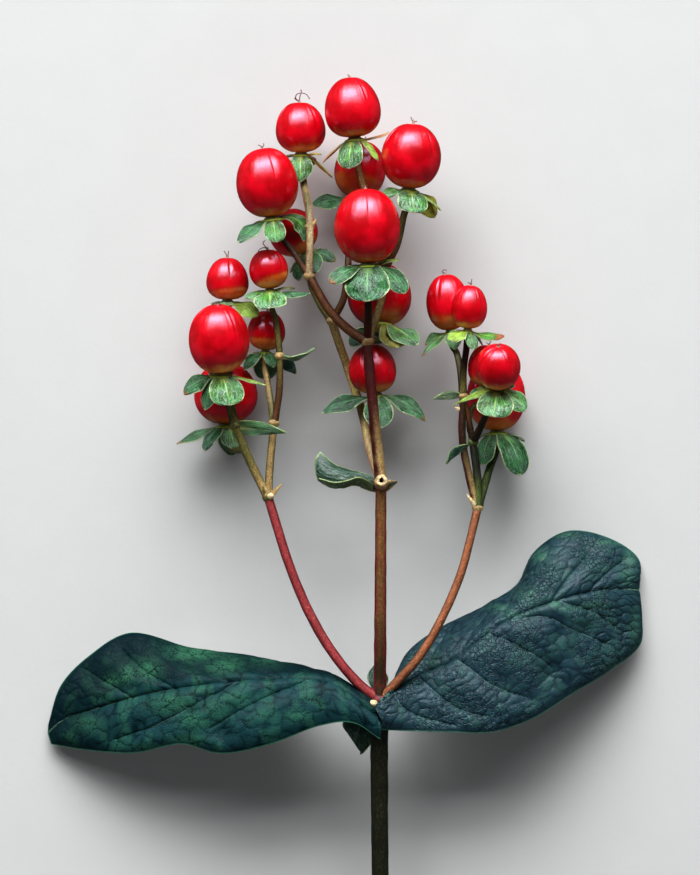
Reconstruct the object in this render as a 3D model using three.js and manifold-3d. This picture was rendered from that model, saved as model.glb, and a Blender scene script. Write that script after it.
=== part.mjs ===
// A cut hypericum stem with its berries, lying on its back on a flat surface.
// Millimetres, +Z up. +Y runs along the stem from the cut end to the topmost berry.
//
// Places below are plan coordinates: x and y from the joint where the two big leaves
// leave the stem, z from the surface that the spray lies on. The last lines move the
// whole spray so that its own origin is under the middle of its box.
//
// The stem with its side shoots, pedicels, swollen joints and dry bracts grew as one
// piece and is one mesh. Each berry, each calyx of five sepals and each leaf is its own.
import * as THREE from "three";
import { mergeVertices } from "three/addons/utils/BufferGeometryUtils.js";
import Module from "manifold-3d";

const wasm = await Module();
wasm.setup();

// ---------------------------------------------------------------- driving dimensions
const PLAN_CENTRE = [-7.1, 20.0]; // middle of the spray's box, in plan coordinates
const CLEARANCE = 0.3; // between a berry, its calyx, its pedicel and any leaf
const FLAT_DEPTH = 0.4; // pressed flat under each of the three berries that it lies on

const BERRY_SIDES = 12;
const BERRY_ROWS = 7;
const BERRY_FULLNESS = 0.92; // 1 is a plain oval, and less has fuller shoulders
const STYLE_RADIUS = 0.45;
const STYLE_HEIGHT = 0.9;
const STYLE_ROOT = 0.5; // how far the dried style is sunk into its berry
const STYLE_TAPER = 0.4; // radius at its tip, as a share of the one at its foot
const STYLE_SIDES = 4;

const CUP_HEIGHT = 1.2; // the small cup under a berry that carries its five sepals
const CUP_TO_BERRY = 0.19; // cup radius as a share of the berry's width
const CUP_FOOT_RADIUS = 0.85;
const CUP_FLARE = 0.3; // least by which the cup is wider than its foot
const CUP_SIDES = 7;
const SEPAL_THICKNESS = 0.6;
const SEPAL_ROOT = 0.7; // where a sepal starts, as a share of the cup's radius
const SEPAL_STEPS = 3;
const SEPAL_CURL = 40; // degrees that a sepal bends down between its root and its tip
const SEPAL_BLUNTNESS = 0.7; // 1 is a narrow leaf shape, and less has a rounder tip
const SEPAL_CUP = 0.22; // how far a sepal's edges turn back, as a share of its half width
const BLADE_NECK = 0.07; // share of the outline that is left out at the root
const BLADE_TIP = 0.12; // least width of a blade, as a share of its full width

const LEAF_THICKNESS = 0.8;
const SMALL_LEAF_THICKNESS = 0.6;
const SMALL_LEAF_BLUNTNESS = 0.8;
const SMALL_LEAF_STEPS = 5;
const BIG_LEAF_STEPS = 13;
const BIG_LEAF_HALF_STEPS = 3;
const BIG_LEAF_BULGE = 1.1; // how high each half of a big leaf arches between rib and edge
const FAR_HALF_SWING = 0.6; // how much the far half's arch also swings to +Y

const STEM_SIDES = 6;
const BRANCH_SIDES = 8; // on stems thicker than BRANCH_RADIUS
const BRANCH_RADIUS = 0.88;
const STEM_STEP = 8; // length of one straight piece of a stem
const PEDICEL_STRAIGHT = 1.3; // last bit of a pedicel, in line with its berry
const JOINT_SIDES = 8;
const JOINT_ROWS = 4;
const BRACT_TAPER = 0.85; // share of its width that a bract loses towards its tip

// Height of the middle of a berry of this width that the spray lies on.
const lying = (width) => width / 2 - FLAT_DEPTH;

// Berries: centre x, y, z, width, height, then degrees that the tip leans to +X and
// up towards +Z, and how far below the middle the berry is widest (share of height).
const BERRIES = {
  berry_01: [-5.6, 118.6, 14.0, 11.2, 12.2, -5, 0, 0.08],
  berry_02: [-16.0, 114.8, 9.6, 10.0, 10.2, -2, 0, 0.07],
  berry_03: [6.2, 108.8, 15.0, 12.0, 13.0, 4, 3, 0.02],
  berry_04: [-4.0, 106.6, lying(10.4), 10.4, 11.6, 8, 0, 0.04],
  berry_05: [-2.6, 94.6, 20.5, 13.2, 15.0, -2, 0, 0.02],
  berry_06: [-22.6, 103.4, 16.3, 12.4, 14.0, -8, 0, 0.02],
  berry_07: [-17.4, 93.8, 7.2, 9.8, 9.4, -30, 0, 0.02],
  berry_08: [0.0, 81.2, 6.9, 12.8, 12.8, -3, -20, 0.03],
  berry_09: [-1.5, 66.2, 9.0, 9.6, 10.0, -8, 0, 0.03],
  berry_10: [-30.6, 84.4, 11.0, 8.6, 8.6, 0, 0, 0.1],
  berry_11: [-22.3, 86.2, 14.0, 7.8, 8.0, -3, 0, 0.03],
  berry_12: [-32.2, 72.2, 18.0, 12.2, 13.8, -2, 9, 0.03],
  berry_13: [-22.8, 74.0, 8.5, 7.6, 8.0, 3, 0, 0.05],
  berry_14: [-31.1, 61.4, lying(12.8), 12.8, 12.4, -2, 0, 0.03],
  berry_15: [13.6, 79.6, 11.0, 8.6, 11.4, -6, 0, 0.04],
  berry_16: [17.8, 78.5, 18.2, 7.2, 8.8, 4, 2, 0.05],
  berry_17: [23.4, 66.6, 24.0, 9.0, 9.2, 0, 28, 0.02],
  berry_18: [23.5, 61.0, lying(11.8), 11.8, 14.4, -1, 0, 0.02],
  berry_19: [21.2, 66.8, 15.3, 7.4, 8.4, 8, 0, 0.02],
};
const LYING_ON = ["berry_04", "berry_14", "berry_18"];

// Sepals of each calyx: degrees round the berry (0 faces up, 90 to the right), degrees
// that it droops, length and width. Then, if unusual, degrees that its face is turned
// up, degrees that it curls and the bluntness of its tip.
const SEPALS = {
  berry_01: [
    [-24, 66, 6.2, 5.6, 0, 30, 0.45],
    [62, 54, 5.7, 3.2],
    [120, -10, 7.0, 2.4, 0, -10],
    [176, -5, 4.4, 3.4],
    [-100, 35, 6.6, 2.2, 0, 25],
  ],
  berry_02: [
    [-5, 70, 5.8, 5.0],
    [70, 0, 3.0, 2.0],
    [108, 42, 6.8, 2.0, 0, 15],
    [156, 25, 4.4, 3.4],
    [-146, 0, 3.6, 3.0],
  ],
  berry_03: [
    [24, 50, 5.2, 5.4, 0, 30, 0.5],
    [86, 33, 6.2, 2.6, 0, 25],
    [122, 54, 6.2, 5.0],
    [-165, 10, 4.4, 3.6],
    [-66, 20, 3.8, 3.4, 10, 60],
  ],
  berry_04: [
    [-10, 62, 5.0, 4.6],
    [60, 35, 5.4, 4.0],
    [130, 12, 3.4, 3.0],
    [-140, 12, 3.0, 3.0],
    [-72, 16, 8.0, 4.2, 45, 20],
  ],
  berry_05: [
    [-6, 66, 7.7, 9.0, 0, 30, 0.42],
    [66, 44, 8.4, 4.8, 40, 50, 0.5],
    [126, -12, 6.2, 4.2],
    [-146, 0, 5.2, 4.0],
    [-66, 25, 7.4, 4.6, 35, 40, 0.5],
  ],
  berry_06: [
    [4, 62, 5.2, 4.4, 0, 30, 0.45],
    [104, 50, 8.4, 4.0, 60, 140, 0.6],
    [150, -14, 3.0, 2.8],
    [-142, 5, 4.4, 3.6],
    [-62, 29, 7.6, 4.4, 30, 30],
  ],
  berry_07: [
    [2, 56, 5.2, 4.6],
    [70, 50, 5.4, 3.8, 30],
    [145, 10, 3.8, 3.4],
    [-115, 20, 4.0, 3.4],
    [-44, 43, 5.8, 4.8],
  ],
  berry_08: [
    [58, 38, 7.2, 5.4, 15, 30, 0.8],
    [106, 66, 6.6, 4.4],
    [178, 5, 3.6, 3.6],
    [-118, 0, 5.2, 3.6],
    [-78, 32, 8.0, 4.6, 30],
  ],
  berry_09: [
    [0, 62, 7.2, 6.0, 0, 20, 0.55],
    [80, 38, 10.4, 4.6, 45, 50, 0.8],
    [126, 20, 7.4, 4.2],
    [-168, 46, 4.6, 3.4],
    [-82, 10, 10.4, 4.6, 50, 30, 0.8],
  ],
  berry_10: [
    [-4, 15, 2.6, 2.8],
    [70, 27, 6.0, 4.2, 45, 30, 0.5],
    [142, 5, 4.0, 3.2],
    [-146, 5, 4.0, 3.2],
    [-80, 25, 3.2, 3.0],
  ],
  berry_11: [
    [0, 38, 5.4, 6.6, 0, 30, 0.35],
    [80, 6, 7.2, 3.0, 30, -20, 0.8],
    [128, -6, 5.4, 2.8],
    [-146, 0, 4.2, 3.2],
    [-74, 15, 4.4, 3.8, 20],
  ],
  berry_12: [
    [14, 50, 6.6, 7.8, 0, 30, 0.42],
    [86, 16, 7.8, 2.4, 0, 10],
    [-166, 0, 3.4, 3.4],
    [-80, 30, 6.8, 4.2, 45, 45],
    [-38, 44, 7.4, 4.2, 0, 30, 0.6],
  ],
  berry_13: [
    [34, 50, 3.6, 3.4],
    [98, 32, 3.4, 3.2],
    [176, 60, 6.0, 5.0, 0, 20, 0.45],
    [-120, 20, 4.0, 3.4],
    [-58, 45, 5.2, 3.4, 15],
  ],
  berry_14: [
    [20, 60, 5.4, 4.8, 0, 20],
    [92, 16, 4.6, 3.6],
    [172, 62, 6.8, 5.0],
    [-88, 20, 9.0, 3.6, 30, 15, 0.8],
    [-44, 44, 6.8, 4.4],
  ],
  berry_15: [
    [8, 60, 3.8, 3.2],
    [112, 10, 3.6, 3.0],
    [-146, 5, 3.8, 3.2],
    [-88, 26, 4.2, 3.2, 35],
    [-60, 35, 6.9, 3.4, 10, 30, 0.8],
  ],
  berry_16: [
    [-46, 30, 4.0, 4.2, 10, 40, 0.45],
    [26, 56, 4.0, 2.8, 0, 20, 0.5],
    [76, -2, 6.2, 2.6, 40, -15, 0.9],
    [100, 48, 3.4, 1.6],
    [-128, 5, 3.4, 2.8],
  ],
  berry_17: [
    [0, 28, 6.2, 7.6, 0, 30, 0.4],
    [54, 26, 6.2, 4.6, 15, 40, 0.5],
    [128, 0, 3.0, 3.0],
    [-136, -5, 2.2, 2.4],
    [-78, 19, 8.6, 2.8, 20, 20, 0.9],
  ],
  berry_18: [
    [-30, 64, 7.0, 4.8, 0, 30, 0.5],
    [34, 66, 9.4, 7.4, 0, 20, 0.55],
    [106, 20, 4.6, 3.8],
    [180, 30, 2.4, 3.0],
    [-106, 20, 4.6, 3.6],
  ],
  berry_19: [
    [-36, 40, 3.0, 2.4],
    [36, 40, 3.0, 2.4],
    [108, 20, 2.6, 2.2],
    [180, 10, 2.2, 2.0],
    [-108, 35, 2.0, 2.0],
  ],
};

// Places where the stem forks.
const FORK = {
  leaves: [0, 0, 15.0],
  left: [-22.4, 40.6, 14.2],
  middle: [0.2, 43.4, 15.0],
  right: [19.5, 38.4, 15.6],
  centre: [-2.6, 71.8, 15.7],
  twin: [-14.2, 84.8, 14.6],
  thin: [-9.7, 75.9, 9.4],
  leftLow: [-29.0, 55.0, 14.9],
  leftRight: [-21.2, 55.4, 14.0],
  rightLow: [18.6, 51.6, 14.5],
  rightHigh: [16.6, 60.8, 15.0],
  split: [1.2, 86.5, 14.2],
};

// Stems: radius at both ends, then the places that each one passes through. A berry's
// name at the end means the underside of that berry's cup.
const STEMS = [
  [1.75, 1.45, FORK.leaves, [-0.1, -8, 13.8], [0.1, -35, 9.6], [0.6, -62, 5.4], [1.2, -85, 1.9]],
  [
    1.0, 0.9,
    FORK.leaves, [-4, 3, 15.3], [-9.4, 9.4, 15.5], [-14.2, 17.6, 15.3], [-18, 26.6, 14.9],
    FORK.left,
  ],
  [1.3, 1.1, FORK.leaves, [0.1, 20, 15.2], FORK.middle],
  [
    0.95, 0.85,
    FORK.leaves, [4, 4.4, 16.4], [8, 9, 17.0], [12.4, 16.6, 17.1], [16, 25, 16.8],
    [18.2, 33, 16.2], FORK.right,
  ],
  [0.9, 0.85, FORK.left, [-25, 45.6, 14.4], [-28.0, 52.4, 14.7], FORK.leftLow],
  [0.85, 0.75, FORK.leftLow, [-30.2, 59.2, 15.7], "berry_12"],
  [0.75, 0.65, [-27.2, 49.8, 14.2], [-27.6, 47.8, 10.6], [-29.4, 48.2, 7.0], "berry_14"],
  [
    0.6, 0.55,
    FORK.leftLow, [-29.7, 60.4, 14.3], [-30.2, 65.6, 13.2], [-29.4, 70.5, 10.8],
    [-30.2, 75.6, 10.6], "berry_10",
  ],
  [0.8, 0.75, FORK.left, [-22.0, 47, 14.1], FORK.leftRight],
  [0.7, 0.6, FORK.leftRight, [-22.0, 60, 12.8], [-22.7, 64.5, 10.2], "berry_13"],
  [0.75, 0.6, FORK.leftRight, [-20.2, 61.5, 14.2], [-20.1, 68.8, 14.2], [-20.9, 76, 14.1], "berry_11"],
  [1.15, 1.0, FORK.middle, [-0.6, 51, 15.3], [-1.5, 60, 15.6], FORK.centre],
  [
    0.8, 0.85,
    FORK.middle, [-1.9, 49.5, 11.6], [-3.6, 57.5, 6.8], [-6.3, 66, 5.0], [-8.4, 72, 7.4],
    FORK.thin,
  ],
  [0.7, 0.6, FORK.thin, [-12.0, 79.2, 9.0], [-14.0, 84, 8.4], "berry_07"],
  [0.75, 0.6, FORK.thin, [-7.4, 80, 10.0], [-6.5, 86, 9.8], [-6.0, 93, 7.4], "berry_04"],
  [1.0, 0.85, FORK.centre, [-6, 73.8, 15.6], [-10, 77.8, 15.2], FORK.twin],
  [0.7, 0.6, FORK.twin, [-16.8, 88.8, 14.2], [-19.2, 91.8, 14.4], "berry_06"],
  [0.75, 0.75, FORK.twin, [-14.0, 91, 16.7], [-14.1, 97, 16.0], [-15.2, 103, 11.2], "berry_02"],
  [0.8, 0.75, FORK.centre, [-2.4, 75.5, 17.6], [-2.3, 80, 19.6], "berry_05"],
  [0.8, 0.75, FORK.centre, [-0.6, 77, 15.0], [0.7, 82, 14.6], FORK.split],
  [0.7, 0.65, FORK.split, [0.2, 93, 12.5], [-2.4, 100, 12.0], [-4.2, 106, 12.7], "berry_01"],
  [0.7, 0.7, FORK.split, [3.4, 91, 13.9], [4.8, 97, 14.3], "berry_03"],
  [0.7, 0.6, FORK.centre, [-1.2, 71.9, 13.2], "berry_08"],
  [0.7, 0.6, [-0.5, 49.6, 15.0], [-0.6, 52.4, 10.4], [-0.5, 55.6, 8.8], "berry_09"],
  [0.8, 0.7, FORK.right, [18, 44, 15.4], [16.5, 52, 15.2], FORK.rightHigh],
  [0.7, 0.6, FORK.rightHigh, [16.1, 65.6, 14.0], [15.3, 69.6, 12.2], "berry_15"],
  [0.7, 0.6, FORK.rightHigh, [16.7, 66, 16.0], [17.2, 70, 17.4], "berry_16"],
  [0.85, 0.8, FORK.right, [19.6, 43, 15.3], [19.1, 48, 14.8], FORK.rightLow],
  [0.75, 0.7, FORK.rightLow, [19.8, 54, 16.4], [21.4, 57.4, 18.8], "berry_17"],
  [0.6, 0.5, FORK.rightLow, [17.8, 55.4, 13.4], [18.6, 58.6, 13.8], "berry_19"],
  [0.6, 0.55, FORK.rightLow, [17.8, 56, 14.7], FORK.rightHigh],
  [0.85, 0.7, FORK.right, [20.5, 41.4, 12.4], [21.8, 45.4, 8.0], [23.1, 49.0, 6.0], "berry_18"],
];

// Swollen joints: place and radius.
const JOINTS = [
  [FORK.leaves, 2.1],
  [FORK.left, 1.35],
  [FORK.middle, 1.6],
  [FORK.right, 1.45],
  [FORK.centre, 1.35],
  [FORK.twin, 1.2],
  [FORK.thin, 1.1],
  [FORK.leftLow, 1.15],
  [FORK.leftRight, 1.05],
  [FORK.rightLow, 1.1],
  [FORK.rightHigh, 1.05],
  [[-20.1, 68.8, 14.2], 1.0],
  [[-14.0, 94.6, 16.4], 0.95],
];

// The cut-off side shoot at the middle fork, which points up and away from the surface.
const STUB = [[0.2, 43.2, 15.4], [0.3, 44.0, 18.0]];
const STUB_RADII = [1.43, 1.3];

// Dry bracts at the joints: root, tip and width.
const BRACTS = [
  [[-21.8, 41.0, 14.6], [-19.8, 43.0, 15.0], 1.0],
  [[-22.9, 40.4, 14.6], [-23.4, 42.6, 15.4], 1.0],
  [[19.2, 38.6, 16.2], [17.5, 41.0, 16.8], 1.1],
  [[0.8, 42.6, 15.6], [3.2, 43.6, 16.0], 1.4],
  [[16.4, 58.0, 15.0], [15.1, 58.5, 15.2], 1.0],
  [[-13.8, 94.4, 16.8], [-12.8, 96.0, 17.2], 0.9],
];

// The two big leaves: points along the midrib, the far edge and the near edge.
const BIG_LEAVES = {
  leaf_left: {
    midrib: [
      [-2.8, 0.1, 15.5], [-10, 3.8, 16.2], [-19, 4.6, 16.2], [-33, 3.4, 14.2],
      [-46, 1.2, 10.2], [-58, -2.4, 5.4], [-64, -4.6, 2.8], [-67.1, -7.4, 1.4],
    ],
    far: [
      [-3.1, 0.9, 14.6], [-8, 3.7, 10.5], [-16, 6.5, 6.2], [-26, 8.4, 3.6], [-38, 9.9, 2.2],
      [-50.6, 12.9, 1.2], [-58.6, 8.4, 0.9], [-64.4, 2.4, 0.8], [-67.0, -5.6, 1.1],
    ],
    near: [
      [0.0, -7.7, 18.4], [-5.4, -4.4, 18.6], [-12, -5.0, 18.6], [-22, -8.7, 18.2],
      [-31.6, -10.6, 16.6], [-39.8, -8.9, 14.2], [-49, -10.8, 10.6], [-60, -10.4, 5.4], [-66.4, -9.5, 1.8],
    ],
  },
  leaf_right: {
    midrib: [
      [3.3, 0.6, 14.4], [7.6, 4.8, 14.2], [14.6, 8.0, 14.6], [24, 15.2, 13.6],
      [35.6, 19.9, 11.2], [44, 21.7, 7.6], [50, 21.8, 3.9], [52.4, 21.6, 2.4],
    ],
    far: [
      [3.3, 2.0, 13.2], [5.4, 9.0, 7.6], [12, 14.0, 4.8], [20, 17.8, 3.2], [27.8, 22.8, 2.2],
      [31.4, 29.4, 1.4], [38, 33.5, 0.9], [46.4, 32.1, 0.8], [52.4, 27.8, 0.8], [52.5, 22.4, 2.0],
    ],
    near: [
      [0.8, -5.8, 17.4], [6, -6.1, 17.6], [14, -6.3, 17.6], [22, -6.4, 16.8], [30, -4, 14.8],
      [38.4, 1, 11.4], [46.6, 5.8, 7.2], [52.6, 10.8, 3.2], [53.0, 16, 1.9], [52.6, 20.8, 2.2],
    ],
  },
};

// Small leaves: root, the point that it bows towards, tip, width, and the direction
// that its width runs in.
const SMALL_LEAVES = {
  leaf_middle: [[-2.1, 43.4, 15.2], [-8.0, 43.2, 17.6], [-13.2, 46.0, 14.6], 7.2, [0.1, 0.8, -0.6]],
  leaf_under: [[-1.6, -4.0, 11.4], [-3.0, -8.6, 10.0], [-4.4, -11.6, 6.4], 6.4, [0.9, -0.3, 0.2]],
  leaf_axil: [[-0.2, 2.4, 13.1], [-0.5, 4.8, 11.9], [-0.6, 7.0, 10.4], 4.2, [1, 0, 0.1]],
  leaf_crescent: [[-18.6, 69.3, 14.2], [-16.0, 67.6, 14.6], [-13.4, 70.2, 14.8], 2.4, [0.1, 0.3, 0.95]],
  leaf_behind: [[-19.4, 67.7, 12.6], [-18.2, 67.0, 11.2], [-17.2, 65.6, 9.4], 2.6, [0.8, 0.5, 0]],
  leaf_fork: [[-27.4, 54.8, 14.8], [-23.2, 56.0, 16.8], [-18.8, 53.6, 16.2], 3.4, [0, 0.9, 0.4]],
  leaf_high: [[15.2, 61.4, 15.2], [13.2, 61.8, 16.0], [10.8, 60.8, 15.6], 2.0, [0, 0.8, 0.6]],
  leaf_low: [[16.8, 50.6, 16.9], [14.2, 49.8, 17.6], [13.4, 47.2, 16.4], 2.2, [-0.5, 0.6, 0.6]],
};

const COLOURS = {
  berry: 0xd0101c,
  calyx: 0x6f9a58,
  stem: 0x7a4a33,
  bigLeaf: 0x1f4a42,
  smallLeaf: 0x557a55,
};
const ROUGHNESS = { berry: 0.25, calyx: 0.55, stem: 0.6, bigLeaf: 0.5, smallLeaf: 0.55 };

// ---------------------------------------------------------------- helpers
const MERGE_DISTANCE = 1e-4; // vertices nearer to each other than this are one
const UP_THE_BERRY = new THREE.Vector3(0, 1, 0);
const radians = THREE.MathUtils.degToRad;
const vector = (p) => new THREE.Vector3(...p);

// A closed geometry as a solid that can be joined and cut.
function solidOf(geometry) {
  const bare = geometry.index ? geometry.toNonIndexed() : geometry.clone();
  for (const name of Object.keys(bare.attributes)) {
    if (name !== "position") bare.deleteAttribute(name);
  }
  const merged = mergeVertices(bare, MERGE_DISTANCE);
  return new wasm.Manifold(
    new wasm.Mesh({
      numProp: 3,
      vertProperties: merged.attributes.position.array,
      triVerts: new Uint32Array(merged.index.array),
    }),
  );
}

function geometryOf(solid) {
  const mesh = solid.getMesh();
  const geometry = new THREE.BufferGeometry();
  geometry.setAttribute("position", new THREE.BufferAttribute(mesh.vertProperties, 3));
  geometry.setIndex(new THREE.BufferAttribute(mesh.triVerts, 1));
  geometry.computeVertexNormals();
  return geometry;
}

function joined(geometries) {
  return geometries.map(solidOf).reduce((whole, next) => whole.add(next));
}

function closedGeometry(points, triangles) {
  const geometry = new THREE.BufferGeometry().setFromPoints(points);
  geometry.setIndex(triangles);
  return geometry;
}

// A round tube through the points, from radius first to radius last, closed at both ends.
function taperedTube(points, first, last, sides) {
  const curve = new THREE.CatmullRomCurve3(points.map(vector), false, "centripetal");
  const steps = Math.max(2, Math.round(curve.getLength() / STEM_STEP));
  const frames = curve.computeFrenetFrames(steps, false);
  const ring = [];
  const triangles = [];
  for (let i = 0; i <= steps; i++) {
    const centre = curve.getPointAt(i / steps);
    const radius = THREE.MathUtils.lerp(first, last, i / steps);
    for (let j = 0; j < sides; j++) {
      const angle = (2 * Math.PI * j) / sides;
      const offset = frames.normals[i].clone().multiplyScalar(Math.cos(angle) * radius);
      offset.addScaledVector(frames.binormals[i], Math.sin(angle) * radius);
      ring.push(centre.clone().add(offset));
    }
  }
  for (let i = 0; i < steps; i++) {
    for (let j = 0; j < sides; j++) {
      const a = i * sides + j;
      const b = i * sides + ((j + 1) % sides);
      triangles.push(a, b, b + sides, a, b + sides, a + sides);
    }
  }
  const end = steps * sides;
  for (let j = 1; j < sides - 1; j++) {
    triangles.push(0, j + 1, j, end, end + j, end + j + 1);
  }
  return closedGeometry(ring, triangles);
}

// A blade of even thickness over surface(u, v), u from root to tip and v from -1 to 1
// across, split into triangles alike on both faces.
function blade(surface, along, across, thickness) {
  const small = 1e-3; // step of u and v over which the surface's slope is taken
  const points = [[], []];
  for (let i = 0; i <= along; i++) {
    for (let j = 0; j <= across; j++) {
      const u = i / along;
      const v = (2 * j) / across - 1;
      const du = surface(Math.min(u + small, 1), v).sub(surface(Math.max(u - small, 0), v));
      const dv = surface(u, Math.min(v + small, 1)).sub(surface(u, Math.max(v - small, -1)));
      const normal = du.cross(dv).normalize().multiplyScalar(thickness / 2);
      points[0].push(surface(u, v).add(normal));
      points[1].push(surface(u, v).sub(normal));
    }
  }
  const row = across + 1;
  const under = (along + 1) * row;
  const triangles = [];
  for (let i = 0; i < along; i++) {
    for (let j = 0; j < across; j++) {
      const a = i * row + j;
      const [b, c, d] = [a + row, a + row + 1, a + 1];
      triangles.push(a, b, c, a, c, d);
      triangles.push(under + a, under + c, under + b, under + a, under + d, under + c);
    }
  }
  const edge = [];
  for (let i = 0; i < along; i++) edge.push(i * row);
  for (let j = 0; j < across; j++) edge.push(along * row + j);
  for (let i = along; i > 0; i--) edge.push(i * row + across);
  for (let j = across; j > 0; j--) edge.push(j);
  edge.forEach((a, k) => {
    const b = edge[(k + 1) % edge.length];
    triangles.push(a, under + b, b, a, under + a, under + b);
  });
  return closedGeometry([...points[0], ...points[1]], triangles);
}

// ---------------------------------------------------------------- berries
function berryAxis(name) {
  const [, , , , , lean, nod] = BERRIES[name];
  const flat = Math.cos(radians(nod));
  return new THREE.Vector3(
    Math.sin(radians(lean)) * flat,
    Math.cos(radians(lean)) * flat,
    Math.sin(radians(nod)),
  );
}

// The point on a berry's axis that lies the given distance below its base.
function belowBerry(name, distance) {
  const [x, y, z, , height] = BERRIES[name];
  return new THREE.Vector3(x, y, z).addScaledVector(berryAxis(name), -height / 2 - distance);
}

// Half the outline of a berry, from its base to its tip.
function berryProfile(width, height, skew) {
  const profile = [];
  for (let i = 0; i <= BERRY_ROWS; i++) {
    const angle = (Math.PI * i) / BERRY_ROWS;
    const radius = i % BERRY_ROWS ? (width / 2) * Math.sin(angle) ** BERRY_FULLNESS : 0;
    const level = (-height / 2) * Math.cos(angle) - skew * height * Math.sin(angle) ** 2;
    profile.push(new THREE.Vector2(radius, level));
  }
  return profile;
}

// The dried style that stands on the tip of a berry.
function driedStyle(height) {
  const length = STYLE_HEIGHT + STYLE_ROOT;
  const tip = STYLE_RADIUS * STYLE_TAPER;
  const cone = new THREE.CylinderGeometry(tip, STYLE_RADIUS, length, STYLE_SIDES);
  return cone.translate(0, height / 2 - STYLE_ROOT + length / 2, 0);
}

// The space below the surface that the spray lies on, seen from a berry's own frame.
function groundUnder(mesh) {
  const reach = 40;
  const depth = 20;
  const ground = new THREE.BoxGeometry(reach, reach, depth);
  ground.translate(mesh.position.x, mesh.position.y, -depth / 2);
  mesh.updateMatrix();
  return ground.applyMatrix4(mesh.matrix.clone().invert());
}

function material(kind) {
  return new THREE.MeshStandardMaterial({
    color: COLOURS[kind],
    roughness: ROUGHNESS[kind],
    metalness: 0,
  });
}

function makeBerry(name) {
  const [x, y, z, width, height, , , skew] = BERRIES[name];
  const mesh = new THREE.Mesh(undefined, material("berry"));
  mesh.name = name;
  mesh.position.set(x, y, z);
  mesh.quaternion.setFromUnitVectors(UP_THE_BERRY, berryAxis(name));
  const flesh = new THREE.LatheGeometry(berryProfile(width, height, skew), BERRY_SIDES);
  let solid = joined([flesh, driedStyle(height)]);
  if (LYING_ON.includes(name)) {
    solid = solid.subtract(solidOf(groundUnder(mesh)));
  }
  mesh.geometry = geometryOf(solid);
  return mesh;
}

// ---------------------------------------------------------------- calyces
// Width of a sepal or small leaf at u, from 0 at its root to 1 at its tip, as a share
// of its full width.
function bladeOutline(u, bluntness) {
  const along = BLADE_NECK + (1 - BLADE_NECK) * u;
  return Math.max(Math.sin(Math.PI * along) ** bluntness, BLADE_TIP);
}

// A sepal in its berry's frame: it leaves the cup sideways, bends down in an arc and
// turns its face up on the way.
function sepal(row, cupRadius) {
  const [turn, droop, length, width, twist = 0, curl = SEPAL_CURL, bluntness = SEPAL_BLUNTNESS] = row;
  const start = radians(droop - curl / 2);
  const bend = radians(curl) / length;
  const outward = new THREE.Vector3(Math.sin(radians(turn)), 0, Math.cos(radians(turn)));
  const sideways = new THREE.Vector3(Math.cos(radians(turn)), 0, -Math.sin(radians(turn)));
  const surface = (u, v) => {
    const angle = start + bend * u * length;
    const out = SEPAL_ROOT * cupRadius + (Math.sin(angle) - Math.sin(start)) / bend;
    const down = SEPAL_THICKNESS / 2 + (Math.cos(start) - Math.cos(angle)) / bend;
    const face = outward.clone().multiplyScalar(Math.sin(angle)).setY(Math.cos(angle));
    const roll = radians(twist) * Math.sign(turn) * Math.min(1, 2 * u);
    const side = sideways.clone().multiplyScalar(Math.cos(roll)).addScaledVector(face, Math.sin(roll));
    face.multiplyScalar(Math.cos(roll)).addScaledVector(sideways, -Math.sin(roll));
    const half = (width / 2) * bladeOutline(u, bluntness);
    return new THREE.Vector3(0, -down, 0)
      .addScaledVector(outward, out)
      .addScaledVector(side, half * v)
      .addScaledVector(face, -SEPAL_CUP * half * v * v * u);
  };
  return blade(surface, SEPAL_STEPS, 2, SEPAL_THICKNESS);
}

function cup(radius) {
  const [widest, rim] = [-0.35 * CUP_HEIGHT, 0.9 * radius];
  const profile = [
    [0, -CUP_HEIGHT],
    [CUP_FOOT_RADIUS, -CUP_HEIGHT],
    [radius, widest],
    [rim, 0],
    [0, 0],
  ];
  return new THREE.LatheGeometry(profile.map(([r, y]) => new THREE.Vector2(r, y)), CUP_SIDES);
}

function makeCalyx(name) {
  const width = BERRIES[name][3];
  const radius = Math.max(width * CUP_TO_BERRY, CUP_FOOT_RADIUS + CUP_FLARE);
  const pieces = SEPALS[name].map((row) => sepal(row, radius));
  const mesh = new THREE.Mesh(geometryOf(joined([cup(radius), ...pieces])), material("calyx"));
  mesh.name = name.replace("berry", "calyx");
  mesh.position.copy(belowBerry(name, CLEARANCE));
  mesh.quaternion.setFromUnitVectors(UP_THE_BERRY, berryAxis(name));
  return mesh;
}

// ---------------------------------------------------------------- stem
// A berry's name stands for the last straight bit of its pedicel, in line with its axis.
function stemPoints(place) {
  if (Array.isArray(place)) return [place];
  const end = CUP_HEIGHT + 2 * CLEARANCE;
  return [belowBerry(place, end + PEDICEL_STRAIGHT), belowBerry(place, end)].map((p) => p.toArray());
}

function swelling([place, radius]) {
  return new THREE.SphereGeometry(radius, JOINT_SIDES, JOINT_ROWS).translate(...place);
}

function bract([root, tip, width]) {
  const [from, to] = [vector(root), vector(tip)];
  const side = to.clone().sub(from).cross(new THREE.Vector3(0, 0, 1)).normalize();
  const surface = (u, v) => {
    const half = (width / 2) * (1 - BRACT_TAPER * u);
    return from.clone().lerp(to, u).addScaledVector(side, half * v);
  };
  return blade(surface, 2, 1, SMALL_LEAF_THICKNESS);
}

function makeStem() {
  const shoots = STEMS.map(([first, last, ...places]) => {
    const sides = first > BRANCH_RADIUS ? BRANCH_SIDES : STEM_SIDES;
    return taperedTube(places.flatMap(stemPoints), first, last, sides);
  });
  const stub = taperedTube(STUB, ...STUB_RADII, STEM_SIDES);
  const pieces = [...shoots, stub, ...JOINTS.map(swelling), ...BRACTS.map(bract)];
  const mesh = new THREE.Mesh(geometryOf(joined(pieces)), material("stem"));
  mesh.name = "stem";
  return mesh;
}

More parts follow.
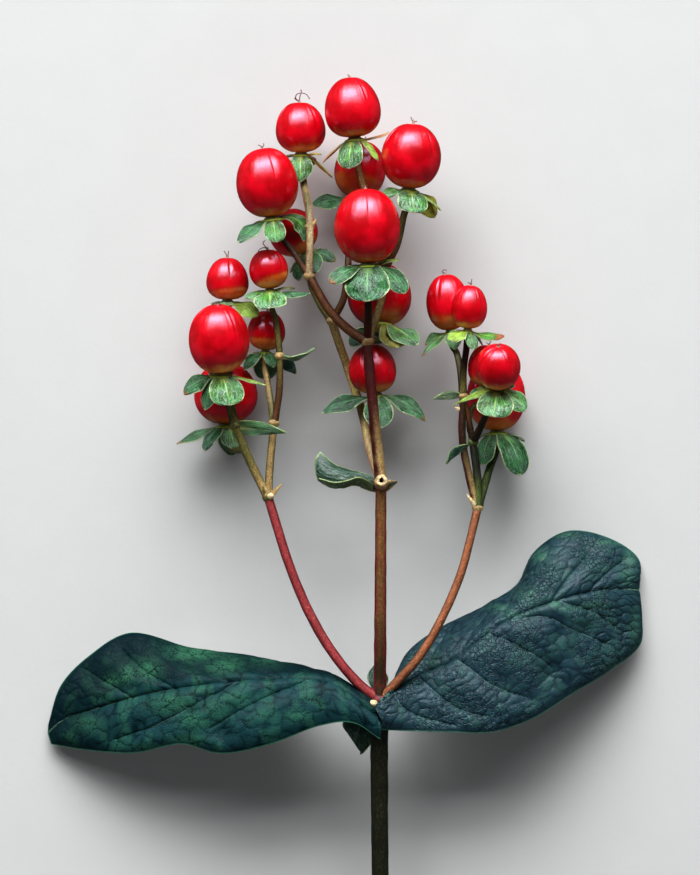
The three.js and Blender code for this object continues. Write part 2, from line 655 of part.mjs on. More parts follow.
// ---------------------------------------------------------------- leaves
// A big leaf: a sheet from its far edge over the midrib to its near edge.
function makeBigLeaf(name) {
  const curve = (points) => new THREE.CatmullRomCurve3(points.map(vector), false, "centripetal");
  const { midrib, far, near } = BIG_LEAVES[name];
  const [rib, farEdge, nearEdge] = [curve(midrib), curve(far), curve(near)];
  const surface = (u, v) => {
    const middle = rib.getPointAt(u);
    const edge = (v > 0 ? farEdge : nearEdge).getPointAt(u);
    const point = middle.clone().lerp(edge, Math.abs(v));
    const arch = BIG_LEAF_BULGE * Math.abs(v) * (1 - Math.abs(v)) * 4 * Math.sin(Math.PI * u);
    const swing = v > 0 ? FAR_HALF_SWING * arch : 0;
    return point.add(new THREE.Vector3(0, swing, arch));
  };
  const solid = blade(surface, BIG_LEAF_STEPS, 2 * BIG_LEAF_HALF_STEPS, LEAF_THICKNESS);
  const mesh = new THREE.Mesh(geometryOf(solidOf(solid)), material("bigLeaf"));
  mesh.name = name;
  return mesh;
}

// A small leaf, bowed from its root to its tip.
function makeSmallLeaf(name) {
  const [root, bow, tip, width, side] = SMALL_LEAVES[name];
  const curve = new THREE.QuadraticBezierCurve3(vector(root), vector(bow), vector(tip));
  const across = vector(side).normalize();
  const surface = (u, v) => {
    const half = (width / 2) * bladeOutline(u, SMALL_LEAF_BLUNTNESS);
    return curve.getPoint(u).addScaledVector(across, half * v);
  };
  const solid = blade(surface, SMALL_LEAF_STEPS, 2, SMALL_LEAF_THICKNESS);
  const mesh = new THREE.Mesh(geometryOf(solidOf(solid)), material("smallLeaf"));
  mesh.name = name;
  return mesh;
}

// ---------------------------------------------------------------- the spray
const spray = new THREE.Group();
spray.add(makeStem());
Object.keys(BIG_LEAVES).forEach((name) => spray.add(makeBigLeaf(name)));
Object.keys(SMALL_LEAVES).forEach((name) => spray.add(makeSmallLeaf(name)));
Object.keys(BERRIES).forEach((name) => spray.add(makeBerry(name), makeCalyx(name)));
spray.position.set(-PLAN_CENTRE[0], -PLAN_CENTRE[1], 0);

const part = new THREE.Group();
part.add(spray);
export default part;
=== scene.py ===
"""The looks of a cut hypericum stem that lies on its back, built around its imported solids.

Tables and lengths are in millimetres, in plan coordinates: x and y from the joint where the
two big leaves leave the stem, z from the surface that the spray lies on. place() and
mesh_of() turn them into metres in the frame.
"""
import math
import random

import bpy
import numpy as np
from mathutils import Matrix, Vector


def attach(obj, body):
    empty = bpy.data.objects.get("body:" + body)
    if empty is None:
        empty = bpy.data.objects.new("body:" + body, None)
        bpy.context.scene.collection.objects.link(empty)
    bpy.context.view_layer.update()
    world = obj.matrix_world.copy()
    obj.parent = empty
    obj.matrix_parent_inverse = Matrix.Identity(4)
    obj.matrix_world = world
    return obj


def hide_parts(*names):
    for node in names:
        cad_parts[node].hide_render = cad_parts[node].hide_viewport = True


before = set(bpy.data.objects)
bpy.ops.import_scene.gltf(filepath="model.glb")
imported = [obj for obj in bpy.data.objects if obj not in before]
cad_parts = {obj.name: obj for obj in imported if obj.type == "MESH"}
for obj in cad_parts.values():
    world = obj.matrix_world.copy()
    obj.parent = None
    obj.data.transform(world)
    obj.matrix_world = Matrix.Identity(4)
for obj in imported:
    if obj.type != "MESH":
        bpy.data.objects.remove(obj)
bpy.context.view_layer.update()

MM = 0.001
PLAN_CENTRE = (-7.1, 20.0)
BODY = "root"

# ---- driving dimensions
# Berries: centre x, y, z, width, height, degrees that the tip leans to +X and up towards
# +Z, and how far below the middle the berry is widest (share of its height).
BERRIES = {
    1: (-5.6, 118.6, 14.0, 11.2, 12.2, -5, 0, 0.08),
    2: (-16.0, 114.8, 9.6, 10.0, 10.2, -2, 0, 0.07),
    3: (6.2, 108.8, 15.0, 12.0, 13.0, 4, 3, 0.02),
    4: (-4.0, 106.6, 4.8, 10.4, 11.6, 8, 0, 0.04),
    5: (-2.6, 94.6, 20.5, 13.2, 15.0, -2, 0, 0.02),
    6: (-22.6, 103.4, 16.3, 12.4, 14.0, -8, 0, 0.02),
    7: (-17.4, 93.8, 7.2, 9.8, 9.4, -30, 0, 0.02),
    8: (0.0, 81.2, 6.9, 12.8, 12.8, -3, -20, 0.03),
    9: (-1.5, 66.2, 9.0, 9.6, 10.0, -8, 0, 0.03),
    10: (-30.6, 84.4, 11.0, 8.6, 8.6, 0, 0, 0.1),
    11: (-22.3, 86.2, 14.0, 7.8, 8.0, -3, 0, 0.03),
    12: (-32.2, 72.2, 18.0, 12.2, 13.8, -2, 9, 0.03),
    13: (-22.8, 74.0, 8.5, 7.6, 8.0, 3, 0, 0.05),
    14: (-31.1, 61.4, 6.0, 12.8, 12.4, -2, 0, 0.03),
    15: (13.6, 79.6, 11.0, 8.6, 11.4, -6, 0, 0.04),
    16: (17.8, 78.5, 18.2, 7.2, 8.8, 4, 2, 0.05),
    17: (23.4, 66.6, 24.0, 9.0, 9.2, 0, 28, 0.02),
    18: (23.5, 61.0, 5.5, 11.8, 14.4, -1, 0, 0.02),
    19: (21.2, 66.8, 15.3, 7.4, 8.4, 8, 0, 0.02),
}
BERRY_FULLNESS = (0.90, 0.92)  # above and below the middle
BERRY_SIDES = 96
BERRY_ROWS = 54

# Skin of each berry: height of its unripe band (share of the berry's height), degrees round
# the berry where that band climbs, how far it climbs and its warmth (0 is olive, 1 pinkish
# tan). Then degrees round the berry of its seam, and the seam's depth.
SKINS = {
    1: (0.07, 20, 0.02, 0.5, 35, 0.26),
    2: (0.10, 60, 0.04, 0.8, 42, 0.30),
    3: (0.04, 0, 0.0, 0.3, 46, 0.30),
    4: (0.34, -30, 0.04, 0.1, 150, 0.15),
    5: (0.04, 0, 0.0, 0.5, 3, 0.14),
    6: (0.06, 60, 0.04, 0.8, 18, 0.18),
    7: (0.16, 40, 0.05, 0.5, 100, 0.20),
    8: (0.08, 60, 0.03, 0.5, 80, 0.20),
    9: (0.12, 20, 0.03, 0.7, -24, 0.20),
    10: (0.20, 60, 0.05, 0.6, 8, 0.20),
    11: (0.24, 80, 0.17, 1.0, 48, 0.22),
    12: (0.10, 75, 0.06, 1.0, 38, 0.30),
    13: (0.28, 0, 0.0, 0.8, 60, 0.20),
    14: (0.06, 0, 0.0, 0.4, 20, 0.16),
    15: (0.20, -40, 0.04, 0.5, -30, 0.24),
    16: (0.14, 60, 0.03, 0.6, -75, 0.24),
    17: (0.16, -60, 0.05, 0.8, -60, 0.16),
    18: (0.13, -40, 0.07, 0.5, 70, 0.20),
    19: (0.16, 0, 0.0, 0.5, 30, 0.20),
}

# Dried style on a berry's tip: its height, radius and paleness (0 is dark red, 1 straw).
STYLE = (0.35, 0.24, 0.3)
STYLES = {
    1: (0.30, 0.30, 0.6),
    3: (0.80, 0.26, 1.0),
    5: (0.45, 0.28, 0.7),
    8: (0.40, 0.25, 0.6),
    9: (0.40, 0.25, 0.4),
    10: (0.45, 0.28, 0.7),
    12: (0.12, 0.30, 0.2),
    16: (0.55, 0.22, 0.1),
    17: (0.10, 0.32, 0.7),
    18: (0.20, 0.26, 0.4),
}

# Dried threads that stand on it: their points after their foot.
THREADS = {
    1: [[(-0.3, 0.4, 0.1)]],
    2: [
        [(-0.7, 0.6, 0.3), (-0.6, 1.3, 0.4), (0.3, 1.7, 0.4), (1.4, 1.4, 0.3), (2.1, 0.5, 0.2)],
        [(0.1, 0.9, -0.1), (0.4, 1.9, -0.2), (0.3, 2.4, -0.2)],
        [(-0.6, 0.3, 0.2), (-1.0, 0.7, 0.2)],
    ],
    3: [[(-0.3, 0.7, 0.1), (-0.5, 1.2, 0.1)], [(0.4, 0.3, 0.2), (0.7, 0.3, 0.4)]],
    5: [[(0.2, 0.4, 0.4), (0.4, 0.5, 0.7)], [(-0.5, 0.2, 0.4), (-0.8, 0.1, 0.5)]],
    6: [[(-0.4, 0.4, 0.2), (-0.8, 0.5, 0.2)], [(0.4, 0.5, 0.2), (0.3, 0.8, 0.2)]],
    9: [[(0.3, 0.6, -0.1), (0.8, 0.9, -0.1)]],
    10: [[(-0.4, 0.7, 0.1), (-0.7, 1.1, 0.1)], [(0.2, 0.7, 0.1), (0.2, 1.1, 0.0)]],
    11: [
        [(-0.5, 0.5, 0.1), (-0.9, 1.2, 0.1), (-0.5, 1.6, 0.1)],
        [(-0.8, 0.2, 0.1), (-1.5, -0.1, 0.1), (-1.9, -0.6, 0.1)],
    ],
    12: [[(0.4, 0.1, 0.3), (0.7, -0.1, 0.4)], [(-0.4, 0.1, 0.3), (-0.7, 0.0, 0.4)]],
    15: [[(-0.5, 0.4, 0.1), (-0.1, 0.8, 0.1), (0.4, 0.6, 0.1)]],
    16: [[(0.1, 0.6, 0.1), (0.2, 1.1, 0.1)], [(-0.4, 0.3, 0.2), (-0.6, 0.5, 0.2)]],
    17: [[(0.3, 0.2, 0.3), (0.5, 0.2, 0.4)], [(-0.3, 0.1, 0.3), (-0.5, 0.2, 0.4)]],
}
DEFAULT_THREADS = [[(0.2, 0.4, 0.1), (0.4, 0.7, 0.2)], [(-0.3, 0.3, 0.1), (-0.6, 0.4, 0.1)]]
STYLE_SIDES = 12
THREAD_SIDES = 6
THREAD_RADIUS = 0.12  # at its foot and in the knob on its tip
THREAD_THIN_RADIUS = 0.07  # below the knob

# Sepals of each calyx: colour, degrees round the berry (0 faces up, 90 to the right),
# degrees that it droops, length and width. Then, if unusual, degrees that its face is
# turned up, degrees that it curls and the bluntness of its tip.
SEPALS = {
    1: [
        ("light", -24, 66, 6.2, 5.6, 0, 30, 0.45), ("yellow", 62, 54, 5.7, 3.2),
        ("rusty", 120, -10, 7.0, 2.4, 0, -10), ("green", 176, -5, 4.4, 3.4),
        ("rusty", -100, 35, 6.6, 2.2, 0, 25),
    ],
    2: [
        ("light", -5, 70, 5.8, 5.0), ("gold", 70, 0, 3.0, 2.0), ("gold", 108, 42, 6.8, 2.0, 0, 15),
        ("dark", 156, 25, 4.4, 3.4), ("green", -146, 0, 3.6, 3.0),
    ],
    3: [
        ("light", 16, 50, 5.4, 6.4, 0, 30, 0.45), ("yellow", 86, 33, 6.2, 2.6, 0, 25),
        ("olive", 98, 50, 6.4, 5.2, 55, 30, 0.5), ("green", -165, 10, 4.4, 3.6),
        ("light", -60, 22, 4.4, 4.2, 20, 80, 0.6),
    ],
    4: [
        ("green", -10, 62, 5.0, 4.6), ("green", 60, 35, 5.4, 4.0), ("green", 130, 12, 3.4, 3.0),
        ("green", -140, 12, 3.0, 3.0), ("green", -72, 16, 8.0, 4.2, 45, 20),
    ],
    5: [
        ("green", -6, 66, 7.7, 9.0, 0, 30, 0.42), ("green", 66, 44, 8.4, 4.8, 40, 50, 0.5),
        ("yellow", 126, -12, 6.2, 4.2), ("green", -146, 0, 5.2, 4.0),
        ("worn", -66, 25, 7.4, 4.6, 35, 40, 0.5),
    ],
    6: [
        ("light", 4, 62, 5.2, 4.4, 0, 30, 0.45), ("light", 104, 50, 8.4, 4.0, 60, 140, 0.6),
        ("green", 150, -14, 3.0, 2.8), ("green", -142, 5, 4.4, 3.6), ("green", -62, 29, 7.6, 4.4, 30, 30),
    ],
    7: [
        ("green", 2, 56, 5.2, 4.6), ("worn", 70, 50, 5.4, 3.8, 30), ("dark", 145, 10, 3.8, 3.4),
        ("green", -115, 20, 4.0, 3.4), ("green", -44, 43, 5.8, 4.8),
    ],
    8: [
        ("light", 62, 42, 8.4, 6.6, 44, 20, 0.85), ("olive", 40, 66, 6.4, 5.6, 30, 30, 0.5),
        ("dark", 178, 5, 3.6, 3.6), ("green", -118, 0, 5.2, 3.6), ("dark", -70, 44, 7.0, 4.8, 48),
    ],
    9: [
        ("green", 0, 62, 7.2, 6.0, 0, 20, 0.55), ("worn", 80, 38, 10.4, 4.6, 45, 50, 0.8),
        ("olive", 126, 20, 7.4, 4.2), ("olive", -168, 46, 4.6, 3.4),
        ("dark", -82, 10, 10.4, 4.6, 50, 30, 0.8),
    ],
    10: [
        ("pale", -4, 15, 2.6, 2.8), ("yellow", 70, 27, 6.0, 4.2, 45, 30, 0.5), ("green", 142, 5, 4.0, 3.2),
        ("green", -146, 5, 4.0, 3.2), ("light", -80, 25, 3.2, 3.0),
    ],
    11: [
        ("light", 0, 38, 5.4, 6.6, 0, 30, 0.35), ("green", 80, 6, 7.2, 3.0, 30, -20, 0.8),
        ("olive", 128, -6, 5.4, 2.8), ("green", -146, 0, 4.2, 3.2), ("light", -74, 15, 4.4, 3.8, 20),
    ],
    12: [
        ("light", 20, 54, 6.5, 7.4, 0, 30, 0.42), ("yellow", 86, 16, 7.8, 2.4, 0, 10),
        ("green", -166, 0, 3.4, 3.4), ("worn", -80, 30, 6.8, 4.2, 45, 45),
        ("green", -46, 66, 6.9, 4.2, 0, 20, 0.6),
    ],
    13: [
        ("green", 34, 50, 3.6, 3.4), ("green", 98, 32, 3.4, 3.2), ("dark", 176, 60, 6.0, 5.0, 0, 20, 0.45),
        ("dark", -120, 20, 4.0, 3.4), ("green", -58, 45, 5.2, 3.4, 15),
    ],
    14: [
        ("light", 20, 60, 5.4, 4.8, 0, 20), ("dark", 92, 16, 4.6, 3.6), ("dark", 172, 62, 6.8, 5.0),
        ("worn", -88, 20, 9.0, 3.6, 30, 15, 0.8), ("dark", -44, 44, 6.8, 4.4),
    ],
    15: [
        ("light", 8, 60, 3.8, 3.2), ("yellow", 112, 10, 3.6, 3.0), ("green", -146, 5, 3.8, 3.2),
        ("burnt", -88, 22, 4.6, 3.4, 60, 20, 0.8), ("burnt", -62, 33, 7.2, 3.4, 10, 20, 0.9),
    ],
    16: [
        ("yellow", -46, 30, 4.0, 4.2, 10, 40, 0.45), ("light", 26, 56, 4.0, 2.8, 0, 20, 0.5),
        ("tipped", 76, 2, 6.6, 2.3, 45, -25, 0.6), ("light", 100, 48, 3.4, 1.6),
        ("yellow", -128, 5, 3.4, 2.8),
    ],
    17: [
        ("light", -8, 27, 6.0, 7.4, 0, 30, 0.4), ("light", 54, 26, 6.2, 4.6, 15, 40, 0.5),
        ("green", 128, 0, 3.0, 3.0), ("green", -136, -5, 2.2, 2.4),
        ("yellow", -78, 18, 8.4, 2.0, 20, 20, 1.2),
    ],
    18: [
        ("green", -40, 62, 7.2, 5.0, 0, 40, 0.5), ("green", 42, 60, 10.2, 7.8, 0, 60, 0.55),
        ("green", 106, 20, 4.6, 3.8), ("dark", 180, 30, 2.4, 3.0), ("green", -106, 20, 4.6, 3.6),
    ],
    19: [
        ("green", -36, 40, 3.0, 2.4), ("green", 36, 40, 3.0, 2.4), ("green", 108, 20, 2.6, 2.2),
        ("dark", 180, 10, 2.2, 2.0), ("dark", -108, 35, 2.0, 2.0),
    ],
}
CLEARANCE = 0.3  # gap in the solids between a berry, its cup and its stalk
CUP_HEIGHT = 1.2
CUP_TO_BERRY = 0.19  # the cup's radius, as a share of its berry's width
CUP_FOOT_RADIUS = 0.85
CUP_FLARE = 0.3  # how much wider than its foot a cup is at least
CUP_SIDES = 24
SEPAL_THICKNESS = 0.46
SOLID_SEPAL_THICKNESS = 0.6
SEPAL_ROOT = 0.7  # distance from the berry's axis, as a share of the cup's radius
SEPAL_CURL = 40
SEPAL_BLUNTNESS = 0.7
SEPAL_CUP = 0.22
SEPAL_ROWS = 27
SEPAL_COLUMNS = 17
BLADE_NECK = 0.07  # how far along its outline a blade starts: wider at its root if larger
BLADE_TIP_WIDTH = 0.03

# Places where the stem forks.
FORK = {
    "leaves": (0, 0, 15.0),
    "left": (-22.4, 40.6, 14.2),
    "middle": (0.2, 43.4, 15.0),
    "right": (19.5, 38.4, 15.6),
    "centre": (-2.6, 71.8, 15.7),
    "twin": (-14.2, 84.8, 14.6),
    "thin": (-9.7, 75.9, 9.4),
    "left_low": (-29.0, 55.0, 14.9),
    "left_right": (-21.2, 55.4, 14.0),
    "right_low": (18.6, 51.6, 14.5),
    "right_high": (16.6, 60.8, 15.0),
    "split": (1.2, 86.5, 14.2),
}
PEDICEL_STRAIGHT = 1.3
STEM_STEP = 0.55
STEM_SIDES = 22
SWELLING_ROWS = 15
SWELLING_SIDES = 20

# Colours of bark, linear.
BARK = {
    "grey": (0.012, 0.013, 0.006),
    "moss": (0.011, 0.014, 0.007),
    "crimson": (0.13, 0.006, 0.010),
    "rose": (0.27, 0.030, 0.032),
    "bronze": (0.026, 0.012, 0.0035),
    "amber": (0.150, 0.066, 0.018),
    "copper": (0.33, 0.105, 0.042),
    "umber": (0.095, 0.034, 0.011),
    "maroon": (0.045, 0.004, 0.004),
    "olive": (0.115, 0.100, 0.024),
    "fern": (0.065, 0.100, 0.018),
    "tan": (0.37, 0.24, 0.090),
    "pink": (0.38, 0.16, 0.11),
    "cream": (0.66, 0.50, 0.27),
    "straw": (0.42, 0.35, 0.10),
    "dark": (0.016, 0.009, 0.005),
}

# Stems: bark along the middle at both ends, bark along the sides, radius at both ends,
# degrees that the middle bark lies turned to the right, then the places that the stem passes
# through. A number at the end means the underside of that berry's cup.
# The middle bark is partly the stem's own colour and partly a painted highlight along its lit top; the side
# bark is partly its own colour and partly painted shade on its flanks and underside.
STEMS = [
    (
        "grey", "grey", "moss", 1.75, 1.45, 0,
        "leaves", (-0.1, -8, 13.8), (0.1, -35, 9.6), (0.6, -62, 5.4), (1.2, -85, 1.9),
    ),
    (
        "rose", "rose", "crimson", 1.0, 0.9, 0,
        "leaves", (-4, 3, 15.3), (-9.4, 9.4, 15.5), (-14.2, 17.6, 15.3), (-18, 26.6, 14.9), "left",
    ),
    ("bronze", "amber", "crimson", 1.3, 1.1, 0, "leaves", (0.1, 20, 15.2), "middle"),
    (
        "copper", "copper", "umber", 0.95, 0.85, 0,
        "leaves", (4, 4.4, 16.4), (8, 9, 17.0), (12.4, 16.6, 17.1), (16, 25, 16.8), (18.2, 33, 16.2),
        "right",
    ),
    ("tan", "olive", "olive", 0.9, 0.85, 0, "left", (-25, 45.6, 14.4), (-28.0, 52.4, 14.7), "left_low"),
    ("olive", "olive", "moss", 0.85, 0.75, 0, "left_low", (-30.2, 59.2, 15.7), 12),
    (
        "olive", "olive", "fern", 0.75, 0.65, 0,
        (-27.6, 50.4, 14.2), (-28.6, 50.0, 11.2), (-30.2, 50.4, 7.6), 14,
    ),
    (
        "olive", "olive", "fern", 0.6, 0.55, 0,
        "left_low", (-29.7, 60.4, 14.3), (-30.2, 65.6, 13.2), (-29.4, 70.5, 10.8), (-30.2, 75.6, 10.6), 10,
    ),
    ("tan", "tan", "olive", 0.8, 0.75, 0, "left", (-22.0, 47, 14.1), "left_right"),
    ("olive", "tan", "olive", 0.75, 0.65, -15, "left_right", (-22.0, 60, 12.8), (-22.7, 64.5, 10.2), 13),
    (
        "umber", "olive", "dark", 0.75, 0.6, 0,
        "left_right", (-20.2, 61.5, 14.2), (-20.1, 68.8, 14.2), (-20.9, 76, 14.1), 11,
    ),
    ("tan", "maroon", "maroon", 1.15, 1.0, 35, "middle", (-0.6, 51, 15.3), (-1.5, 60, 15.6), "centre"),
    (
        "tan", "straw", "pink", 0.8, 0.85, 0,
        "middle", (-1.9, 49.5, 11.6), (-3.6, 57.5, 6.8), (-6.3, 66, 5.0), (-8.4, 72, 7.4), "thin",
    ),
    ("olive", "olive", "fern", 0.7, 0.6, 0, "thin", (-12.0, 79.2, 9.0), (-14.0, 84, 8.4), 7),
    ("umber", "umber", "dark", 0.75, 0.6, 0, "thin", (-7.4, 80, 10.0), (-6.5, 86, 9.8), (-6.0, 93, 7.4), 4),
    ("umber", "umber", "maroon", 1.0, 0.85, 0, "centre", (-6, 73.8, 15.6), (-10, 77.8, 15.2), "twin"),
    ("umber", "dark", "dark", 0.7, 0.6, 0, "twin", (-16.8, 88.8, 14.2), (-19.2, 91.8, 14.4), 6),
    (
        "cream", "olive", "pink", 0.75, 0.75, 0,
        "twin", (-14.0, 91, 16.7), (-14.1, 97, 16.0), (-15.2, 103, 11.2), 2,
    ),
    ("maroon", "dark", "dark", 0.8, 0.75, 0, "centre", (-2.4, 75.5, 17.6), (-2.3, 80, 19.6), 5),
    ("tan", "tan", "umber", 0.8, 0.75, 0, "centre", (-0.6, 77, 15.0), (0.7, 82, 14.6), "split"),
    (
        "olive", "tan", "olive", 0.7, 0.65, 0,
        "split", (0.2, 93, 12.5), (-2.4, 100, 12.0), (-4.2, 106, 12.7), 1,
    ),
    ("umber", "olive", "dark", 0.7, 0.7, 0, "split", (3.4, 91, 13.9), (4.8, 97, 14.3), 3),
    ("dark", "fern", "dark", 0.7, 0.6, 0, "centre", (-1.2, 71.9, 13.2), 8),
    ("olive", "olive", "umber", 0.7, 0.6, 0, (-0.5, 49.6, 15.0), (-0.6, 52.4, 10.4), (-0.5, 55.6, 8.8), 9),
    ("tan", "bronze", "maroon", 0.8, 0.7, 20, "right", (18, 44, 15.4), (16.5, 52, 15.2), "right_high"),
    ("bronze", "olive", "dark", 0.7, 0.6, 0, "right_high", (16.1, 65.6, 14.0), (15.3, 69.6, 12.2), 15),
    ("olive", "dark", "dark", 0.7, 0.6, 0, "right_high", (16.7, 66, 16.0), (17.2, 70, 17.4), 16),
    ("fern", "grey", "moss", 0.85, 0.8, 0, "right", (19.6, 43, 15.3), (19.1, 48, 14.8), "right_low"),
    ("dark", "dark", "dark", 0.75, 0.7, 0, "right_low", (19.8, 54, 16.4), (21.4, 57.4, 18.8), 17),
    ("olive", "olive", "moss", 0.6, 0.5, 0, "right_low", (17.8, 55.4, 13.4), (18.6, 58.6, 13.8), 19),
    ("bronze", "umber", "dark", 0.6, 0.55, 0, "right_low", (17.8, 56, 14.7), "right_high"),
    (
        "fern", "fern", "moss", 0.85, 0.7, 0,
        "right", (20.5, 41.4, 12.4), (21.8, 45.4, 8.0), (23.1, 49.0, 6.0), 18,
    ),
]

# Swollen joints: place, radius and bark.
JOINTS = [
    ("leaves", 1.85, "crimson"),
    ((-1.35, -0.65, 17.2), 0.85, "cream"),
    ("left", 1.15, "olive"),
    ((-21.9, 40.8, 15.0), 0.7, "cream"),
    ("middle", 1.6, "tan"),
    ("right", 1.1, "tan"),
    ("centre", 1.35, "tan"),
    ("twin", 1.15, "tan"),
    ("thin", 1.1, "tan"),
    ("left_low", 1.15, "olive"),
    ("left_right", 1.05, "tan"),
    ("right_low", 1.1, "fern"),
    ("right_high", 1.05, "tan"),
    ((-20.1, 68.8, 14.2), 1.0, "tan"),
    ((-14.0, 94.6, 16.4), 0.95, "tan"),
]

# The cut-off side shoot at the middle fork: foot, end, radius at both ends.
STUB = ((0.2, 43.2, 15.4), (0.3, 44.0, 18.0), 1.43, 1.3)
STUB_PITH = 0.48
STUB_SIDES = 24

# Bracts at the joints: root, tip, width and bark.
BRACTS = [
    ((-21.8, 41.0, 14.6), (-19.8, 43.0, 15.0), 1.0, "tan"),
    ((-22.9, 40.4, 14.6), (-23.4, 42.6, 15.4), 1.0, "olive"),
    ((19.2, 38.6, 16.2), (17.5, 41.0, 16.8), 1.1, "cream"),
    ((0.9, 42.8, 15.2), (3.2, 43.6, 15.6), 2.3, "moss"),
    ((-1.0, 42.6, 15.2), (-3.6, 42.6, 15.4), 2.0, "moss"),
    ((16.4, 58.0, 15.0), (15.1, 58.5, 15.2), 1.0, "cream"),
    ((-13.8, 94.4, 16.8), (-12.8, 96.0, 17.2), 0.9, "tan"),
]
BRACT_THICKNESS = 0.32
